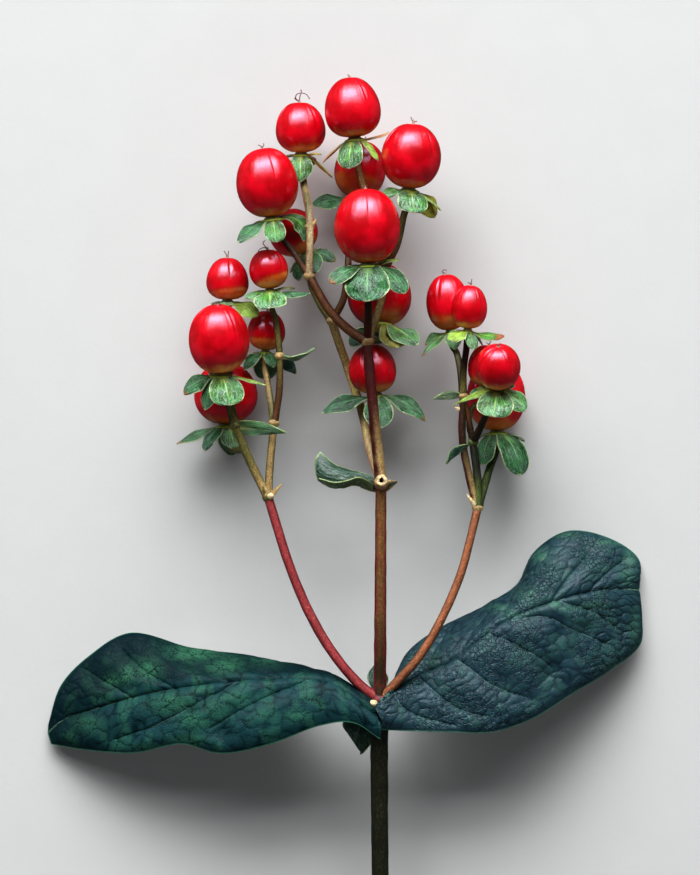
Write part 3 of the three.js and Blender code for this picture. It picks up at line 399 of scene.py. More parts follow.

# The two big leaves: points along the midrib, the far edge and the near edge. Side veins
# and pale patches are given in plan, a patch as x, y, radius along x, radius along y and
# strength, a dent as x, y, radius and depth. A pillow of the quilt has its length, width and
# height. Mottling is the strength of the scattered pale patches, fading how much fainter the
# far half's side veins are, and the last key how much painted shade darkens that half and the tip.
BIG_LEAVES = {
    "leaf_left": {
        "midrib": [
            (-1.9, -0.3, 15.6), (-10, 3.8, 16.2), (-19, 4.6, 16.2), (-33, 3.4, 14.2),
            (-46, 1.2, 10.2), (-58, -2.4, 5.4), (-64, -4.6, 2.8), (-67.1, -7.4, 1.4),
        ],
        "far": [
            (-2.2, 0.6, 14.8), (-8, 3.7, 10.5), (-16, 6.5, 6.2), (-26, 8.4, 3.6), (-38, 9.9, 2.2),
            (-50.6, 12.9, 1.2), (-58.6, 8.4, 0.9), (-64.4, 2.4, 0.8), (-67.0, -5.6, 1.1),
        ],
        "near": [
            (0.05, -7.7, 18.4), (-5.4, -4.4, 18.6), (-12, -5.0, 18.6), (-22, -8.7, 18.2),
            (-31.6, -10.6, 16.6), (-39.8, -8.9, 14.2), (-49, -10.8, 10.6), (-60, -10.4, 5.4),
            (-66.4, -9.5, 1.8),
        ],
        "veins": [
            [(-38.0, -1.4), (-43.0, -4.6), (-50.0, -7.0), (-53.0, -8.2)],
            [(-28.0, 3.8), (-36.0, -0.4), (-42.0, -3.6), (-47.0, -6.0)],
            [(-14.0, 4.2), (-22.0, 1.0), (-30.0, -3.2), (-34.0, -5.6)],
            [(-20.0, 4.6), (-26.0, 6.4), (-32.0, 8.2)],
            [(-30.0, 3.8), (-37.0, 6.4), (-43.0, 9.4)],
            [(-41.0, 2.2), (-47.0, 5.4), (-52.0, 9.6)],
            [(-50.0, 0.4), (-56.0, 3.6), (-60.0, 6.0)],
        ],
        "patches": [
            (-37, 9.0, 5.5, 1.6, 0.9), (-31, 6.5, 3.5, 1.6, 0.7), (-46.5, 5.6, 2.4, 2.0, 0.9),
            (-50.5, 4.6, 1.6, 2.0, 0.8), (-53.5, 3.4, 2.0, 1.4, 0.6), (-41.5, -1.0, 4.5, 1.8, 0.7),
            (-37.0, -4.0, 3.0, 1.6, 1.0), (-32.5, -2.0, 3.0, 2.0, 0.7), (-27.5, 0.5, 2.5, 1.8, 0.5),
            (-23.0, -2.8, 2.0, 1.3, 0.7), (-16.5, -3.0, 2.5, 1.2, 0.8), (-38.5, -7.8, 3.5, 1.0, 0.8),
            (-58.0, -5.5, 3.0, 1.6, 0.5), (-22.0, 7.8, 4.0, 1.2, 0.5), (-47, -9.5, 5, 0.8, 0.5),
            (-62.0, -8.0, 1.6, 1.6, 0.4),
        ],
        "dents": [(-31.5, -6.6, 2.0, 0.9), (-39.0, -6.2, 3.0, 0.5), (-20.0, 6.2, 5.0, 0.5)],
        "root": [
            (0.05, -7.7, 18.4), (0.05, -5.3, 18.5), (-0.56, -3.5, 18.3), (-1.2, -1.6, 17.8),
            (-1.8, -0.9, 17.2), (-2.0, -0.3, 16.2), (-2.2, 0.6, 14.8),
        ],
        "seed": 16,
        "rows": 270,
        "pillow": (3.2, 2.4, 0.20),
        "mottling": 0.35,
        "fading": 0.2,
        "painted_shade": 1.0,
    },
    "leaf_right": {
        "midrib": [
            (2.2, 0.6, 14.6), (7.6, 4.8, 14.2), (14.6, 8.0, 14.6), (24, 15.2, 13.6),
            (35.6, 19.9, 11.2), (44, 21.7, 7.6), (50, 21.8, 3.9), (52.4, 21.6, 2.4),
        ],
        "far": [
            (2.4, 1.8, 13.6), (5.4, 9.0, 7.6), (12, 14.0, 4.8), (20, 17.8, 3.2), (27.8, 22.8, 2.2),
            (31.4, 29.4, 1.4), (38, 33.5, 0.9), (46.4, 32.1, 0.8), (52.4, 27.8, 0.8), (52.5, 22.4, 2.0),
        ],
        "near": [
            (0.0, -5.8, 17.4), (6, -6.1, 17.6), (14, -6.3, 17.6), (22, -6.4, 16.8), (30, -4, 14.8),
            (38.4, 1, 11.4), (46.6, 5.8, 7.2), (52.6, 10.8, 3.2), (53.0, 16, 1.9), (52.6, 20.8, 2.2),
        ],
        "veins": [
            [(2.4, 2.4), (4.0, -0.8), (7.0, -2.8), (15.0, -5.0)],
            [(7.6, 4.6), (11.4, 1.4), (15.6, -1.6), (21.0, -3.2)],
            [(15.6, 7.8), (18.0, 6.4), (22.0, 3.2), (26.4, 1.4), (29.4, 0.4)],
            [(21.4, 13.2), (26.0, 11.6), (31.6, 8.5), (34.4, 6.4)],
            [(26.4, 15.8), (33.0, 16.6), (39.0, 13.8), (45.0, 11.2)],
            [(24.8, 16.6), (27.0, 21.6), (29.8, 25.0)],
            [(16.0, 9.4), (18.4, 13.2), (21.6, 17.2)],
            [(9.0, 5.8), (10.6, 9.2), (13.4, 13.4)],
            [(34.5, 19.8), (37.5, 24.0), (42.0, 29.0)],
            [(42.0, 21.6), (45.5, 25.0), (49.0, 27.6)],
            [(36.0, 19.6), (42.0, 17.8), (48.0, 14.0)],
        ],
        "patches": [
            (35.0, 19.0, 1.8, 0.7, 1.0), (37.5, 18.2, 2.6, 0.7, 0.8), (27.0, 17.0, 3.0, 0.8, 0.6),
            (46.5, 31.0, 4.0, 0.8, 0.7), (50.5, 28.0, 1.4, 2.4, 0.7), (49.5, 24.5, 1.6, 2.0, 0.6),
            (32.5, 28.0, 1.6, 1.2, 0.8), (38.0, 32.3, 3.0, 0.8, 0.6), (30.0, 20.5, 2.5, 2.0, 0.5),
            (24.0, 18.0, 2.0, 0.6, 0.7), (51.0, 14.0, 1.2, 4.0, 0.5), (43.0, 18.5, 3.0, 1.2, 0.5),
            (46.0, 6.5, 3.0, 1.4, 0.4), (10.0, 8.0, 3.0, 2.0, 0.3), (36.0, 25.0, 3.0, 2.0, 0.3),
        ],
        "dents": [
            (33.5, 4.5, 2.6, 0.9), (38.5, 9.0, 2.4, 0.8), (16.0, -0.6, 2.2, 0.5), (25.0, 4.0, 2.0, 0.6),
            (42.0, 14.5, 2.0, 0.7), (36.0, 12.5, 2.0, 0.7),
        ],
        "root": [
            (0.0, -5.8, 17.4), (0.35, -4.3, 18.0), (-0.35, -2.6, 18.1), (-1.0, -1.5, 17.8),
            (-0.3, -0.5, 17.5), (1.5, 1.0, 16.9), (2.4, 1.8, 13.6),
        ],
        "seed": 17,
        "rows": 250,
        "pillow": (2.5, 2.0, 0.34),
        "mottling": 0.2,
        "fading": 0.1,
        "painted_shade": 0.0,
    },
}
BIG_LEAF_BULGE = 1.1  # of each half, between midrib and edge
FAR_HALF_SWING = 0.6  # how much of its bulge moves the far half away from the midrib
BIG_LEAF_COLUMNS = 130
CLASP_LENGTH = 0.14  # share of the leaf that runs into the root
CRACKLE = 0.85  # size of the finest cells of the quilt
BIG_LEAF_THICKNESS = 0.55
LEAF_FLOOR = 0.45  # level of the middle of a leaf that lies on the surface
LAYER_REACH = 4.0  # distance that a colour layer holds as 1

# Small leaves: a colour of TINTS, root, the point that it bows towards, tip, width and the
# direction that its width runs in. Then, if unusual, how wide its root is, as BLADE_NECK.
SMALL_LEAVES = {
    "leaf_under": ("teal", (-1.5, -2.6, 12.4), (-6.3, -7.0, 10.0), (-3.7, -10.8, 6.4), 7.0, (0.8, -0.5, 0.2)),
    "leaf_axil": ("deep", (-0.2, 1.6, 13.8), (-0.5, 4.8, 11.9), (-0.6, 7.2, 10.4), 4.2, (1, 0, 0.1)),
    "leaf_crescent": (
        "pale", (-19.6, 69.0, 14.2), (-16.0, 67.4, 14.6), (-13.2, 70.4, 14.8), 2.4, (0.1, 0.3, 0.95),
    ),
    "leaf_behind": ("dark", (-19.9, 68.2, 13.2), (-18.2, 67.0, 11.2), (-17.0, 65.4, 9.4), 2.6, (0.8, 0.5, 0)),
    "leaf_fork": (
        "fresh", (-28.6, 54.6, 15.0), (-24.0, 54.4, 16.8), (-18.8, 53.5, 16.2), 3.2, (0.2, 0.9, 0.4), 0.3,
    ),
    "leaf_high": ("pale", (16.2, 60.9, 15.4), (13.4, 61.2, 16.0), (10.8, 60.3, 15.6), 1.8, (0.1, 0.95, 0.3)),
    "leaf_low": ("green", (17.6, 51.0, 15.6), (14.4, 50.0, 17.4), (13.3, 47.2, 16.4), 1.9, (-0.5, 0.6, 0.6)),
}
# The leaf at the middle fork: curves from its root to its tip, from the far edge over the
# midrib and the fold to the edge that is turned back.
FOLDED_LEAF = [
    [(-1.4, 44.6, 15.0), (-4.0, 45.5, 15.2), (-6.7, 46.3, 15.0), (-9.3, 47.3, 14.6), (-12.0, 49.7, 14.2)],
    [(-1.3, 44.1, 15.6), (-5.0, 44.9, 16.4), (-8.0, 45.8, 16.4), (-10.8, 47.0, 15.6), (-12.8, 48.4, 14.6)],
    [(-1.4, 43.5, 15.8), (-5.0, 44.0, 17.2), (-8.4, 44.4, 17.4), (-11.2, 45.5, 16.4), (-12.9, 46.8, 14.8)],
    [(-1.6, 41.9, 15.4), (-5.2, 43.0, 16.6), (-7.4, 42.6, 16.8), (-10.0, 42.6, 16.2), (-12.5, 44.1, 15.0)],
    [(-1.9, 43.7, 16.4), (-4.2, 44.5, 17.9), (-6.6, 44.0, 18.2), (-9.4, 43.6, 17.7), (-12.2, 44.3, 16.1)],
]
SMALL_LEAF_THICKNESS = 0.45
SMALL_LEAF_BLUNTNESS = 0.8
SMALL_LEAF_ROWS = 33
SMALL_LEAF_COLUMNS = 19
FOLDED_LEAF_ROWS = 49
FOLDED_LEAF_COLUMNS = 33


# ---- shapes in numbers
LATTICE_FACTORS = (374761393, 668265263, 1442695041, 974634777)
LATTICE_STIR = 1274126177
POSITIVE = 0x7FFFFFFF
LOW_BITS = 0xFFFF
SPLINE_STEPS = 50
VEIN_STEPS = 24


def smoothstep(low, high, value):
    share = np.clip((value - low) / (high - low), 0, 1)
    return share * share * (3 - 2 * share)


def bell(distance, width):
    return np.exp(-((distance / width) ** 2))


def stacked(*parts):
    """Grids as one, with their values along its last axis."""
    return np.stack(np.broadcast_arrays(*parts), axis=-1)


def lattice(ix, iy, iz, seed):
    """A fixed random number from 0 to 1 for each whole-numbered point."""
    mixed = sum(number * factor for number, factor in zip((ix, iy, iz, seed), LATTICE_FACTORS)) & POSITIVE
    mixed = ((mixed ^ (mixed >> 13)) * LATTICE_STIR) & POSITIVE
    return ((mixed ^ (mixed >> 16)) & LOW_BITS) / LOW_BITS


def noise(points, size, seed=0):
    """Smooth noise from -1 to 1 whose lumps are about the given size."""
    scaled = np.asarray(points, float) / size
    cell = np.floor(scaled).astype(np.int64)
    part = scaled - cell
    part = part * part * (3 - 2 * part)
    total = np.zeros(scaled.shape[:-1])
    for corner in range(8):
        step = np.array([corner & 1, corner >> 1 & 1, corner >> 2])
        at = cell + step
        weight = np.prod(np.where(step, part, 1 - part), axis=-1)
        total += weight * lattice(at[..., 0], at[..., 1], at[..., 2], seed)
    return 2 * total - 1


def cells(x, y, seed):
    """Distances to the nearest and second nearest of points strewn one to a unit square,
    and a fixed random number of the nearest."""
    ix, iy = np.floor(x).astype(np.int64), np.floor(y).astype(np.int64)
    first = np.full(x.shape, 9.0)
    second = np.full(x.shape, 9.0)
    tag = np.zeros(x.shape)
    for dx in (-1, 0, 1):
        for dy in (-1, 0, 1):
            cx, cy = ix + dx, iy + dy
            px = cx + 0.15 + 0.7 * lattice(cx, cy, 0, seed)
            py = cy + 0.15 + 0.7 * lattice(cx, cy, 1, seed)
            gap = np.hypot(x - px, y - py)
            nearer = gap < first
            second = np.where(nearer, first, np.minimum(second, gap))
            tag = np.where(nearer, lattice(cx, cy, 2, seed), tag)
            first = np.where(nearer, gap, first)
    return first, second, tag


def run_of(points, axis=0):
    """How far along its row or column each point lies."""
    steps = np.linalg.norm(np.diff(points, axis=axis), axis=-1)
    return np.insert(np.cumsum(steps, axis=axis), 0, 0.0, axis=axis)


def spline(points, count):
    """Points equally spaced along the centripetal curve through the given ones."""
    p = np.array(points, float)
    p = np.vstack([2 * p[0] - p[1], p, 2 * p[-1] - p[-2]])
    pieces = []
    for i in range(1, len(p) - 2):
        before, start, end, after = p[i - 1 : i + 3]
        gaps = [np.linalg.norm(b - a) ** 0.5 for a, b in ((before, start), (start, end), (end, after))]
        leave = (start - before) / gaps[0] - (end - before) / (gaps[0] + gaps[1]) + (end - start) / gaps[1]
        arrive = (end - start) / gaps[1] - (after - start) / (gaps[1] + gaps[2]) + (after - end) / gaps[2]
        t = np.linspace(0, 1, SPLINE_STEPS, endpoint=i == len(p) - 3)[:, None]
        pieces.append(
            (2 * t**3 - 3 * t**2 + 1) * start
            + (t**3 - 2 * t**2 + t) * leave * gaps[1]
            + (3 * t**2 - 2 * t**3) * end
            + (t**3 - t**2) * arrive * gaps[1]
        )
    dense = np.vstack(pieces)
    along = run_of(dense)
    where = np.linspace(0, along[-1], count)
    return np.stack([np.interp(where, along, dense[:, k]) for k in range(3)], axis=1)


def distance_to(lines, xy):
    """Distance in plan from each point to the nearest of the given lines."""
    best = np.full(xy.shape[:-1], 99.0)
    for line in lines:
        curve = spline([(x, y, 0) for x, y in line], VEIN_STEPS)[:, :2]
        for a, b in zip(curve[:-1], curve[1:]):
            share = np.clip(((xy - a) @ (b - a)) / ((b - a) @ (b - a)), 0, 1)
            best = np.minimum(best, np.linalg.norm(xy - a - share[..., None] * (b - a), axis=-1))
    return best


def normals_of(grid):
    along, across = np.gradient(grid, axis=0), np.gradient(grid, axis=1)
    normal = np.cross(along, across)
    return normal / np.maximum(np.linalg.norm(normal, axis=-1, keepdims=True), 1e-9)


def face_up(middle, *fields):
    """A grid and its fields, turned over where needed so that the grid's normals point up."""
    if normals_of(middle)[..., 2].mean() < 0:
        return [grid[:, ::-1] for grid in (middle, *fields)]
    return [middle, *fields]


def blade_grid(rows, columns):
    """Places along a blade, from 0 to 1, and across it, from -1 to 1."""
    return np.meshgrid(np.linspace(0, 1, rows), np.linspace(-1, 1, columns), indexing="ij")


# ---- shapes in meshes
class Shape:
    """Vertices, faces and one colour value for each vertex and layer."""

    def __init__(self, points, faces, **layers):
        self.points = np.asarray(points, float).reshape(-1, 3)
        self.faces = faces
        self.layers = {
            name: np.broadcast_to(np.asarray(value, float), (len(self.points), 4))
            for name, value in layers.items()
        }


def together(shapes):
    """Several shapes as one, each still a closed body of its own."""
    faces = []
    offset = 0
    for shape in shapes:
        faces += [tuple(i + offset for i in face) for face in shape.faces]
        offset += len(shape.points)
    layers = {name: np.vstack([s.layers[name] for s in shapes]) for name in shapes[0].layers}
    return Shape(np.vstack([s.points for s in shapes]), faces, **layers)


def ring_faces(rings, sides, first=0):
    faces = []
    for i in range(rings - 1):
        for j in range(sides):
            a, b = first + i * sides + j, first + i * sides + (j + 1) % sides
            faces.append((a, b, b + sides, a + sides))
    return faces


def tube_faces(rings, sides):
    """Faces of a tube that a flat cap closes at each end."""
    last = (rings - 1) * sides
    return ring_faces(rings, sides) + [tuple(range(sides))[::-1], tuple(last + j for j in range(sides))]


def pole_faces(rings, sides):
    """Faces of rings that close in one point at each end: the first point and the last."""
    faces = [face[::-1] for face in ring_faces(rings, sides, 1)]
    last = 1 + rings * sides
    for j in range(sides):
        k = (j + 1) % sides
        faces.append((0, 1 + k, 1 + j))
        faces.append((last, last - sides + j, last - sides + k))
    return faces


def with_poles(first, rings, last):
    return np.vstack([[first], rings.reshape(-1, len(first)), [last]])


def turns_of(sides):
    return 2 * np.pi * np.arange(sides) / sides


def tube_frames(centres):
    """Two directions across a curve at each of its points, carried along without twist."""
    tangents = np.gradient(centres, axis=0)
    tangents /= np.linalg.norm(tangents, axis=1, keepdims=True)
    across = np.cross(tangents[0], (0, 0, 1.0))
    if np.linalg.norm(across) < 0.1:
        across = np.cross(tangents[0], (1.0, 0, 0))
    sides = []
    for tangent in tangents:
        across = across - tangent * (across @ tangent)
        across = across / np.linalg.norm(across)
        sides.append((across, np.cross(across, tangent)))
    return np.array([s[0] for s in sides]), np.array([s[1] for s in sides])


def tube(centres, radii, sides):
    """A closed tube: its points as rings, with the faces. radii is one row for each ring."""
    centres = np.asarray(centres, float)
    across, up = tube_frames(centres)
    turns = turns_of(sides)
    rings = (
        centres[:, None]
        + across[:, None] * (np.cos(turns) * radii)[..., None]
        + up[:, None] * (np.sin(turns) * radii)[..., None]
    )
    return rings, tube_faces(len(centres), sides)


def turned(levels, radii, sides):
    """A closed body turned round the Y axis: its points as rings, with the faces."""
    centres = [(0, level, 0) for level in levels]
    return tube(centres, np.array(radii, float)[:, None], sides)


def sheet_faces(rows, columns):
    """Faces of a closed sheet whose upper points come first and then its lower ones."""
    under = rows * columns
    faces = []
    for i in range(rows - 1):
        for j in range(columns - 1):
            a = i * columns + j
            b, c, d = a + columns, a + columns + 1, a + 1
            faces.append((a, b, c, d))
            faces.append((under + a, under + d, under + c, under + b))
    edge = [i * columns for i in range(rows - 1)]
    edge += [(rows - 1) * columns + j for j in range(columns - 1)]
    edge += [i * columns + columns - 1 for i in range(rows - 1, 0, -1)]
    edge += list(range(columns - 1, 0, -1))
    for a, b in zip(edge, edge[1:] + edge[:1]):
        faces.append((a, under + a, under + b, b))
    return faces


def sheet(middle, thickness, **layers):
    """A closed sheet round a grid of points. A layer is a function of 0 above and 1 below."""
    rows, columns = middle.shape[:2]
    half = normals_of(middle) * np.broadcast_to(thickness, (rows, columns))[..., None] / 2
    points = np.concatenate([(middle + half).reshape(-1, 3), (middle - half).reshape(-1, 3)])
    painted = {}
    for name, value in layers.items():
        painted[name] = np.concatenate([value(0.0).reshape(-1, 4), value(1.0).reshape(-1, 4)])
    return Shape(points, sheet_faces(rows, columns), **painted)


def colours(*channels):
    """Stacks up to four channels, filled up with 1, as one array of colours."""
    return stacked(*channels, *[1.0] * (4 - len(channels)))


def mesh_of(name, shape, material):
    """The shape as a Blender mesh in the frame, its layers on its face corners."""
    mesh = bpy.data.meshes.new(name)
    moved = (shape.points - (*PLAN_CENTRE, 0)) * MM
    mesh.from_pydata(moved.tolist(), [], shape.faces)
    corner = np.zeros(len(mesh.loops), np.int32)
    mesh.loops.foreach_get("vertex_index", corner)
    for layer, values in shape.layers.items():
        attribute = mesh.color_attributes.new(name=layer, type="FLOAT_COLOR", domain="CORNER")
        attribute.data.foreach_set("color", values[corner].astype(np.float32).ravel())
    mesh.materials.append(material)
    return mesh


def fused(name, shapes, material):
    """One closed mesh of shapes that reach into each other."""
    objects = [bpy.data.objects.new(name, mesh_of(name, s, material)) for s in shapes]
    trunk, others = objects[0], objects[1:]
    bpy.context.scene.collection.objects.link(trunk)
    collection = bpy.data.collections.new(name)
    bpy.context.scene.collection.children.link(collection)
    for other in others:
        collection.objects.link(other)
    join = trunk.modifiers.new("join", "BOOLEAN")
    join.operation = "UNION"
    join.operand_type = "COLLECTION"
    join.collection = collection
    join.solver = "MANIFOLD"
    depsgraph = bpy.context.evaluated_depsgraph_get()
    mesh = bpy.data.meshes.new_from_object(trunk.evaluated_get(depsgraph))
    for thing in objects:
        bpy.data.objects.remove(thing)
    bpy.data.collections.remove(collection)
    return mesh


def piece(name, mesh, node, crease=50):
    """Puts a finished mesh in the scene in place of its solid."""
    mesh.name = name
    mesh.shade_smooth()
    mesh.set_sharp_from_angle(angle=math.radians(crease))
    thing = bpy.data.objects.new(name, mesh)
    bpy.context.scene.collection.objects.link(thing)
    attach(thing, BODY)
    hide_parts(node)


# ---- materials
# Colours, linear. A pair is a darker and a lighter one that blotches mix.
RIPE = ((0.42, 0.0, 0.002), (0.70, 0.0, 0.008))
STREAK_RED = (0.34, 0.0, 0.002)
FLECK_RED = (0.86, 0.02, 0.03)
SEAM_SHADE_RED = (0.20, 0.0, 0.004)
# Painted shade along the seam's groove.
TURNING_RED = (0.50, 0.016, 0.002)
UNRIPE_OLIVE = ((0.36, 0.024, 0.000), (0.48, 0.095, 0.004))
UNRIPE_TAN = ((0.82, 0.15, 0.010), (0.95, 0.33, 0.065))
STYLE_DARK = (0.085, 0.010, 0.012)
STYLE_STRAW = ((0.30, 0.12, 0.08), (0.66, 0.46, 0.32))
BLADE_BASE = (0.50, 0.42, 0.16)
BLADE_STRAW = ((0.15, 0.18, 0.05), (0.22, 0.28, 0.09))
# Frost that is partly painted sheen and glints.
BLADE_FROST_SHEEN = (0.46, 0.76, 0.60)
BLADE_TIP = (0.34, 0.11, 0.032)
# Painted shade in the creases of the quilt's crackle.
LEAF_CREASE_SHADE = (0.002, 0.007, 0.009)
LEAF_VEIN = (0.11, 0.21, 0.19)
LEAF_RIB = (0.12, 0.20, 0.12)
LEAF_RIM = (0.06, 0.20, 0.12)
LEAF_UNDERSIDE = (0.055, 0.12, 0.085)
BARK_SHADE = (0.36, 0.28, 0.28)
BARK_LIGHT = (1.9, 2.1, 2.0)
BARK_DUST = (0.022, 0.015, 0.008)


class Value:
    """One output of a material's node. Sums and products of values are Math nodes."""

    def __init__(self, graph, socket):
        self.graph = graph
        self.socket = socket

    def __add__(self, other):
        return self.graph.math("ADD", self, other)

    def __sub__(self, other):
        return self.graph.math("SUBTRACT", self, other)

    def __mul__(self, other):
        return self.graph.math("MULTIPLY", self, other)

    def __truediv__(self, other):
        return self.graph.math("DIVIDE", self, other)

    def __abs__(self):
        return self.graph.math("ABSOLUTE", self)


class Graph:
    """A material and short ways to add nodes to it."""

    def __init__(self, name, **fixed):
        self.material = bpy.data.materials.new(name)
        self.material.use_nodes = True
        self.tree = self.material.node_tree
        self.shader = self.tree.nodes["Principled BSDF"]
        self.place = self.put("TexCoord", output="Object")
        for socket, value in fixed.items():
            self.feed(self.shader.inputs[socket.replace("_", " ")], value)

    def put(self, kind, sockets=None, output=0, **settings):
        """Adds a node, feeds its sockets and gives back one of its outputs."""
        node = self.tree.nodes.new("ShaderNode" + kind)
        for name, value in settings.items():
            setattr(node, name, value)
        for name, value in (sockets or {}).items():
            self.feed(node.inputs[name], value)
        return Value(self, node.outputs[output])

    def feed(self, socket, value):
        if isinstance(value, Value):
            self.tree.links.new(value.socket, socket)
        elif isinstance(value, tuple) and socket.type == "RGBA":
            socket.default_value = (*value, 1)
        else:
            socket.default_value = value

    def layer(self, name):
        """The four channels of a colour layer, and then its colour."""
        colour = self.put("Attribute", output="Color", attribute_name=name)
        red = self.put("SeparateColor", {"Color": colour})
        sockets = [*red.socket.node.outputs, colour.socket.node.outputs["Alpha"]]
        return [*(Value(self, socket) for socket in sockets), colour]

    def math(self, operation, *values):
        return self.put("Math", dict(enumerate(values)), operation=operation)

    def larger(self, a, b):
        return self.math("MAXIMUM", a, b)

    def ramp(self, value, low, high, start=0.0, end=1.0):
        """Runs smoothly from start, where the value is low, to end, where it is high."""
        sockets = {"Value": value, "From Min": low, "From Max": high, "To Min": start, "To Max": end}
        return self.put("MapRange", sockets, interpolation_type="SMOOTHSTEP", clamp=True)

    def mix(self, share, a, b, blend="MIX"):
        return self.put("Mix", {0: share, 6: a, 7: b}, 2, data_type="RGBA", blend_type=blend)

    def noise(self, place, scale, detail, output=0):
        return self.put("TexNoise", {"Vector": place, "Scale": scale, "Detail": detail}, output)

    def speckle(self, size, detail):
        """Noise whose lumps are about the given size in millimetres."""
        return self.noise(self.place, 1 / (size * MM), detail)

    def net(self, size, place):
        """Distance to the nearest line of a net with meshes of the given size."""
        sockets = {"Vector": place, "Scale": 1 / (size * MM)}
        return self.put("TexVoronoi", sockets, "Distance", feature="DISTANCE_TO_EDGE")

    def finish(self, colour, roughness, *reliefs):
        """Feeds the shader. A relief is a height and the depth of its bumps in millimetres."""
        bump = {}
        for height, depth in reliefs:
            bump.update({"Height": height, "Distance": depth * MM, "Strength": 1.0})
            bump["Normal"] = self.put("Bump", bump)
        looks = {"Base Color": colour, "Roughness": roughness, "Normal": bump["Normal"]}
        for name, value in looks.items():
            self.feed(self.shader.inputs[name], value)
        return self.material


def berry_skin():
    """Glossy red skin. Layers: unripe band, seam (where painted shade darkens the seam's groove), dried
    style, and the warmth of the band or paleness of the style; then the place round the berry (sine, cosine)
    and up it."""
    g = Graph("berry_skin", Specular_IOR_Level=0.8, Specular_Tint=(0.95, 0.72, 1.0))
    band, seam, dry, pale, _ = g.layer("skin")
    lie = g.layer("lie")[4]
    streak = g.noise(g.put("Mapping", {"Vector": lie, "Scale": (22, 22, 1.7)}), 1.0, 3.0)
    lobe = g.noise(g.put("Mapping", {"Vector": lie, "Scale": (8, 8, 1.2)}), 1.0, 1.0)
    blotch = g.speckle(3.5, 3)
    grain = g.speckle(0.45, 3)
    red = g.mix(g.ramp(blotch, 0.35, 0.68), *RIPE)
    red = g.mix(g.ramp(streak, 0.42, 0.72, 0.0, 0.16), red, STREAK_RED)
    red = g.mix(g.ramp(streak * grain, 0.30, 0.44, 0.0, 0.12), red, FLECK_RED)
    # Painted shade: the colour darkens along the seam's groove.
    red = g.mix(seam * 0.45, red, SEAM_SHADE_RED)
    smear = (streak - 0.5) * 0.32 + band
    patchy = g.ramp(blotch, 0.35, 0.65)
    unripe = g.mix(pale, g.mix(patchy, *UNRIPE_OLIVE), g.mix(patchy, *UNRIPE_TAN))
    colour = g.mix(g.ramp(smear, 0.0, 0.55, 0.0, 0.8), red, TURNING_RED)
    colour = g.mix(g.ramp(smear, 0.35, 1.0, 0.0, 0.9), colour, unripe)
    straw = g.mix(g.ramp(grain, 0.35, 0.65), *STYLE_STRAW)
    colour = g.mix(dry, colour, g.mix(pale, STYLE_DARK, straw))
    rough = blotch * 0.12 + 0.14 + streak * 0.08 + dry * 0.4
    return g.finish(colour, rough, (lobe, 0.13), (streak, 0.012), (grain, 0.016))


def blade_skin(name, greens, roughness):
    """Sepal or small leaf. Layers: place across, place along, frost with painted sheen, underside; then tint
    and dryness. greens holds the dark, middle and pale colour, the underside's and the rim's."""
    g = Graph(name, Specular_IOR_Level=0.32)
    dark, middle, pale, lower, margin = greens
    across, along, frost_sheen, under, _ = g.layer("blade")
    _, _, _, dryness, tint = g.layer("tint")
    cloud = g.ramp(g.speckle(1.7, 3), 0.42, 0.58)
    mottle = g.speckle(0.55, 3)
    grain = g.speckle(0.24, 3)
    ragged = mottle - 0.5
    # Veins that fan out from the base, fine meshes between them, and the midrib.
    off_middle = across * 2.0 - 1.0
    side = abs(off_middle)
    spread = off_middle * 5.0 / (along + 0.40)
    wander = g.speckle(2.2, 2) * 3.2 - 1.6
    wave = g.math("SINE", (abs(spread) + wander) * math.pi)
    fading = g.ramp(along, 1.0, 0.35, 0.20, 1.0)
    fan = g.ramp(abs(wave), 0.40, 0.0) * fading
    rib = g.ramp(side, 0.09, 0.01)
    meshes = g.ramp(g.net(0.5, g.place), 0.16, 0.0)
    veins = g.larger(fan * g.ramp(mottle, 0.30, 0.62, 0.1, 0.62), meshes * 0.14)
    veins = g.larger(veins, rib * fading * 0.62)
    drift = g.speckle(6.0, 1) * 9.0
    fibre = g.noise(g.put("CombineXYZ", {0: spread * 1.7, 1: along * 3.4, 2: drift}), 1.0, 3.0)
    # Green, darker beside the base and paler on its midrib, then straw where it has dried.
    colour = g.mix(cloud, dark, middle)
    colour = g.mix(g.ramp(fibre, 0.50, 0.64, 0.0, 0.65), colour, middle)
    colour = g.mix(g.ramp(fibre, 0.47, 0.34, 0.0, 0.65), colour, dark)
    colour = g.mix(veins, colour, pale)
    base = g.ramp(mottle * 0.25 + along, 0.50, 0.15)
    colour = g.mix(base * g.ramp(side, 0.12, 0.45, 0.0, 0.6), colour, dark)
    colour = g.mix(base * g.ramp(side, 0.40, 0.10, 0.10, 0.70), colour, g.mix(0.5, pale, BLADE_BASE))
    colour = g.mix(1.0, g.mix(under * 0.6, colour, lower), tint, "MULTIPLY")
    straw = g.mix(1.0, g.mix(cloud, *BLADE_STRAW), tint, "MULTIPLY")
    colour = g.mix(g.ramp(dryness, 0.0, -1.0), colour, straw)
    # Frost flecks, partly real bloom and partly painted sheen and glints, thicker towards the tip, then the
    # pale rim and the brown tip.
    bloom = g.larger(g.ramp(g.speckle(2.4, 2), 0.42, 0.60), g.ramp(along, 0.45, 0.95, 0.0, 0.85))
    flecks = g.ramp(grain, 0.42, 0.62, 0.10, 1.0) * g.ramp(fibre, 0.42, 0.58, 0.25, 1.0)
    # Painted sheen: pale frost flecks stand partly for glints of light.
    colour = g.mix(frost_sheen * bloom * flecks * 0.56, colour, BLADE_FROST_SHEEN)
    rim = g.larger(side, along * 2.0 - 1.0) + ragged * 0.16
    colour = g.mix(g.ramp(rim, 0.90, 0.99) * 0.8, colour, margin)
    end = g.ramp(along + ragged * 0.4 + dryness * 0.08, 0.90, 1.02)
    colour = g.mix(end * g.ramp(dryness, 0.0, 0.5), colour, BLADE_TIP)
    reliefs = (g.larger(fan, rib), 0.08), (fibre, 0.28), (mottle, 0.09), (grain, 0.035)
    return g.finish(colour, grain * 0.2 + roughness, *reliefs)


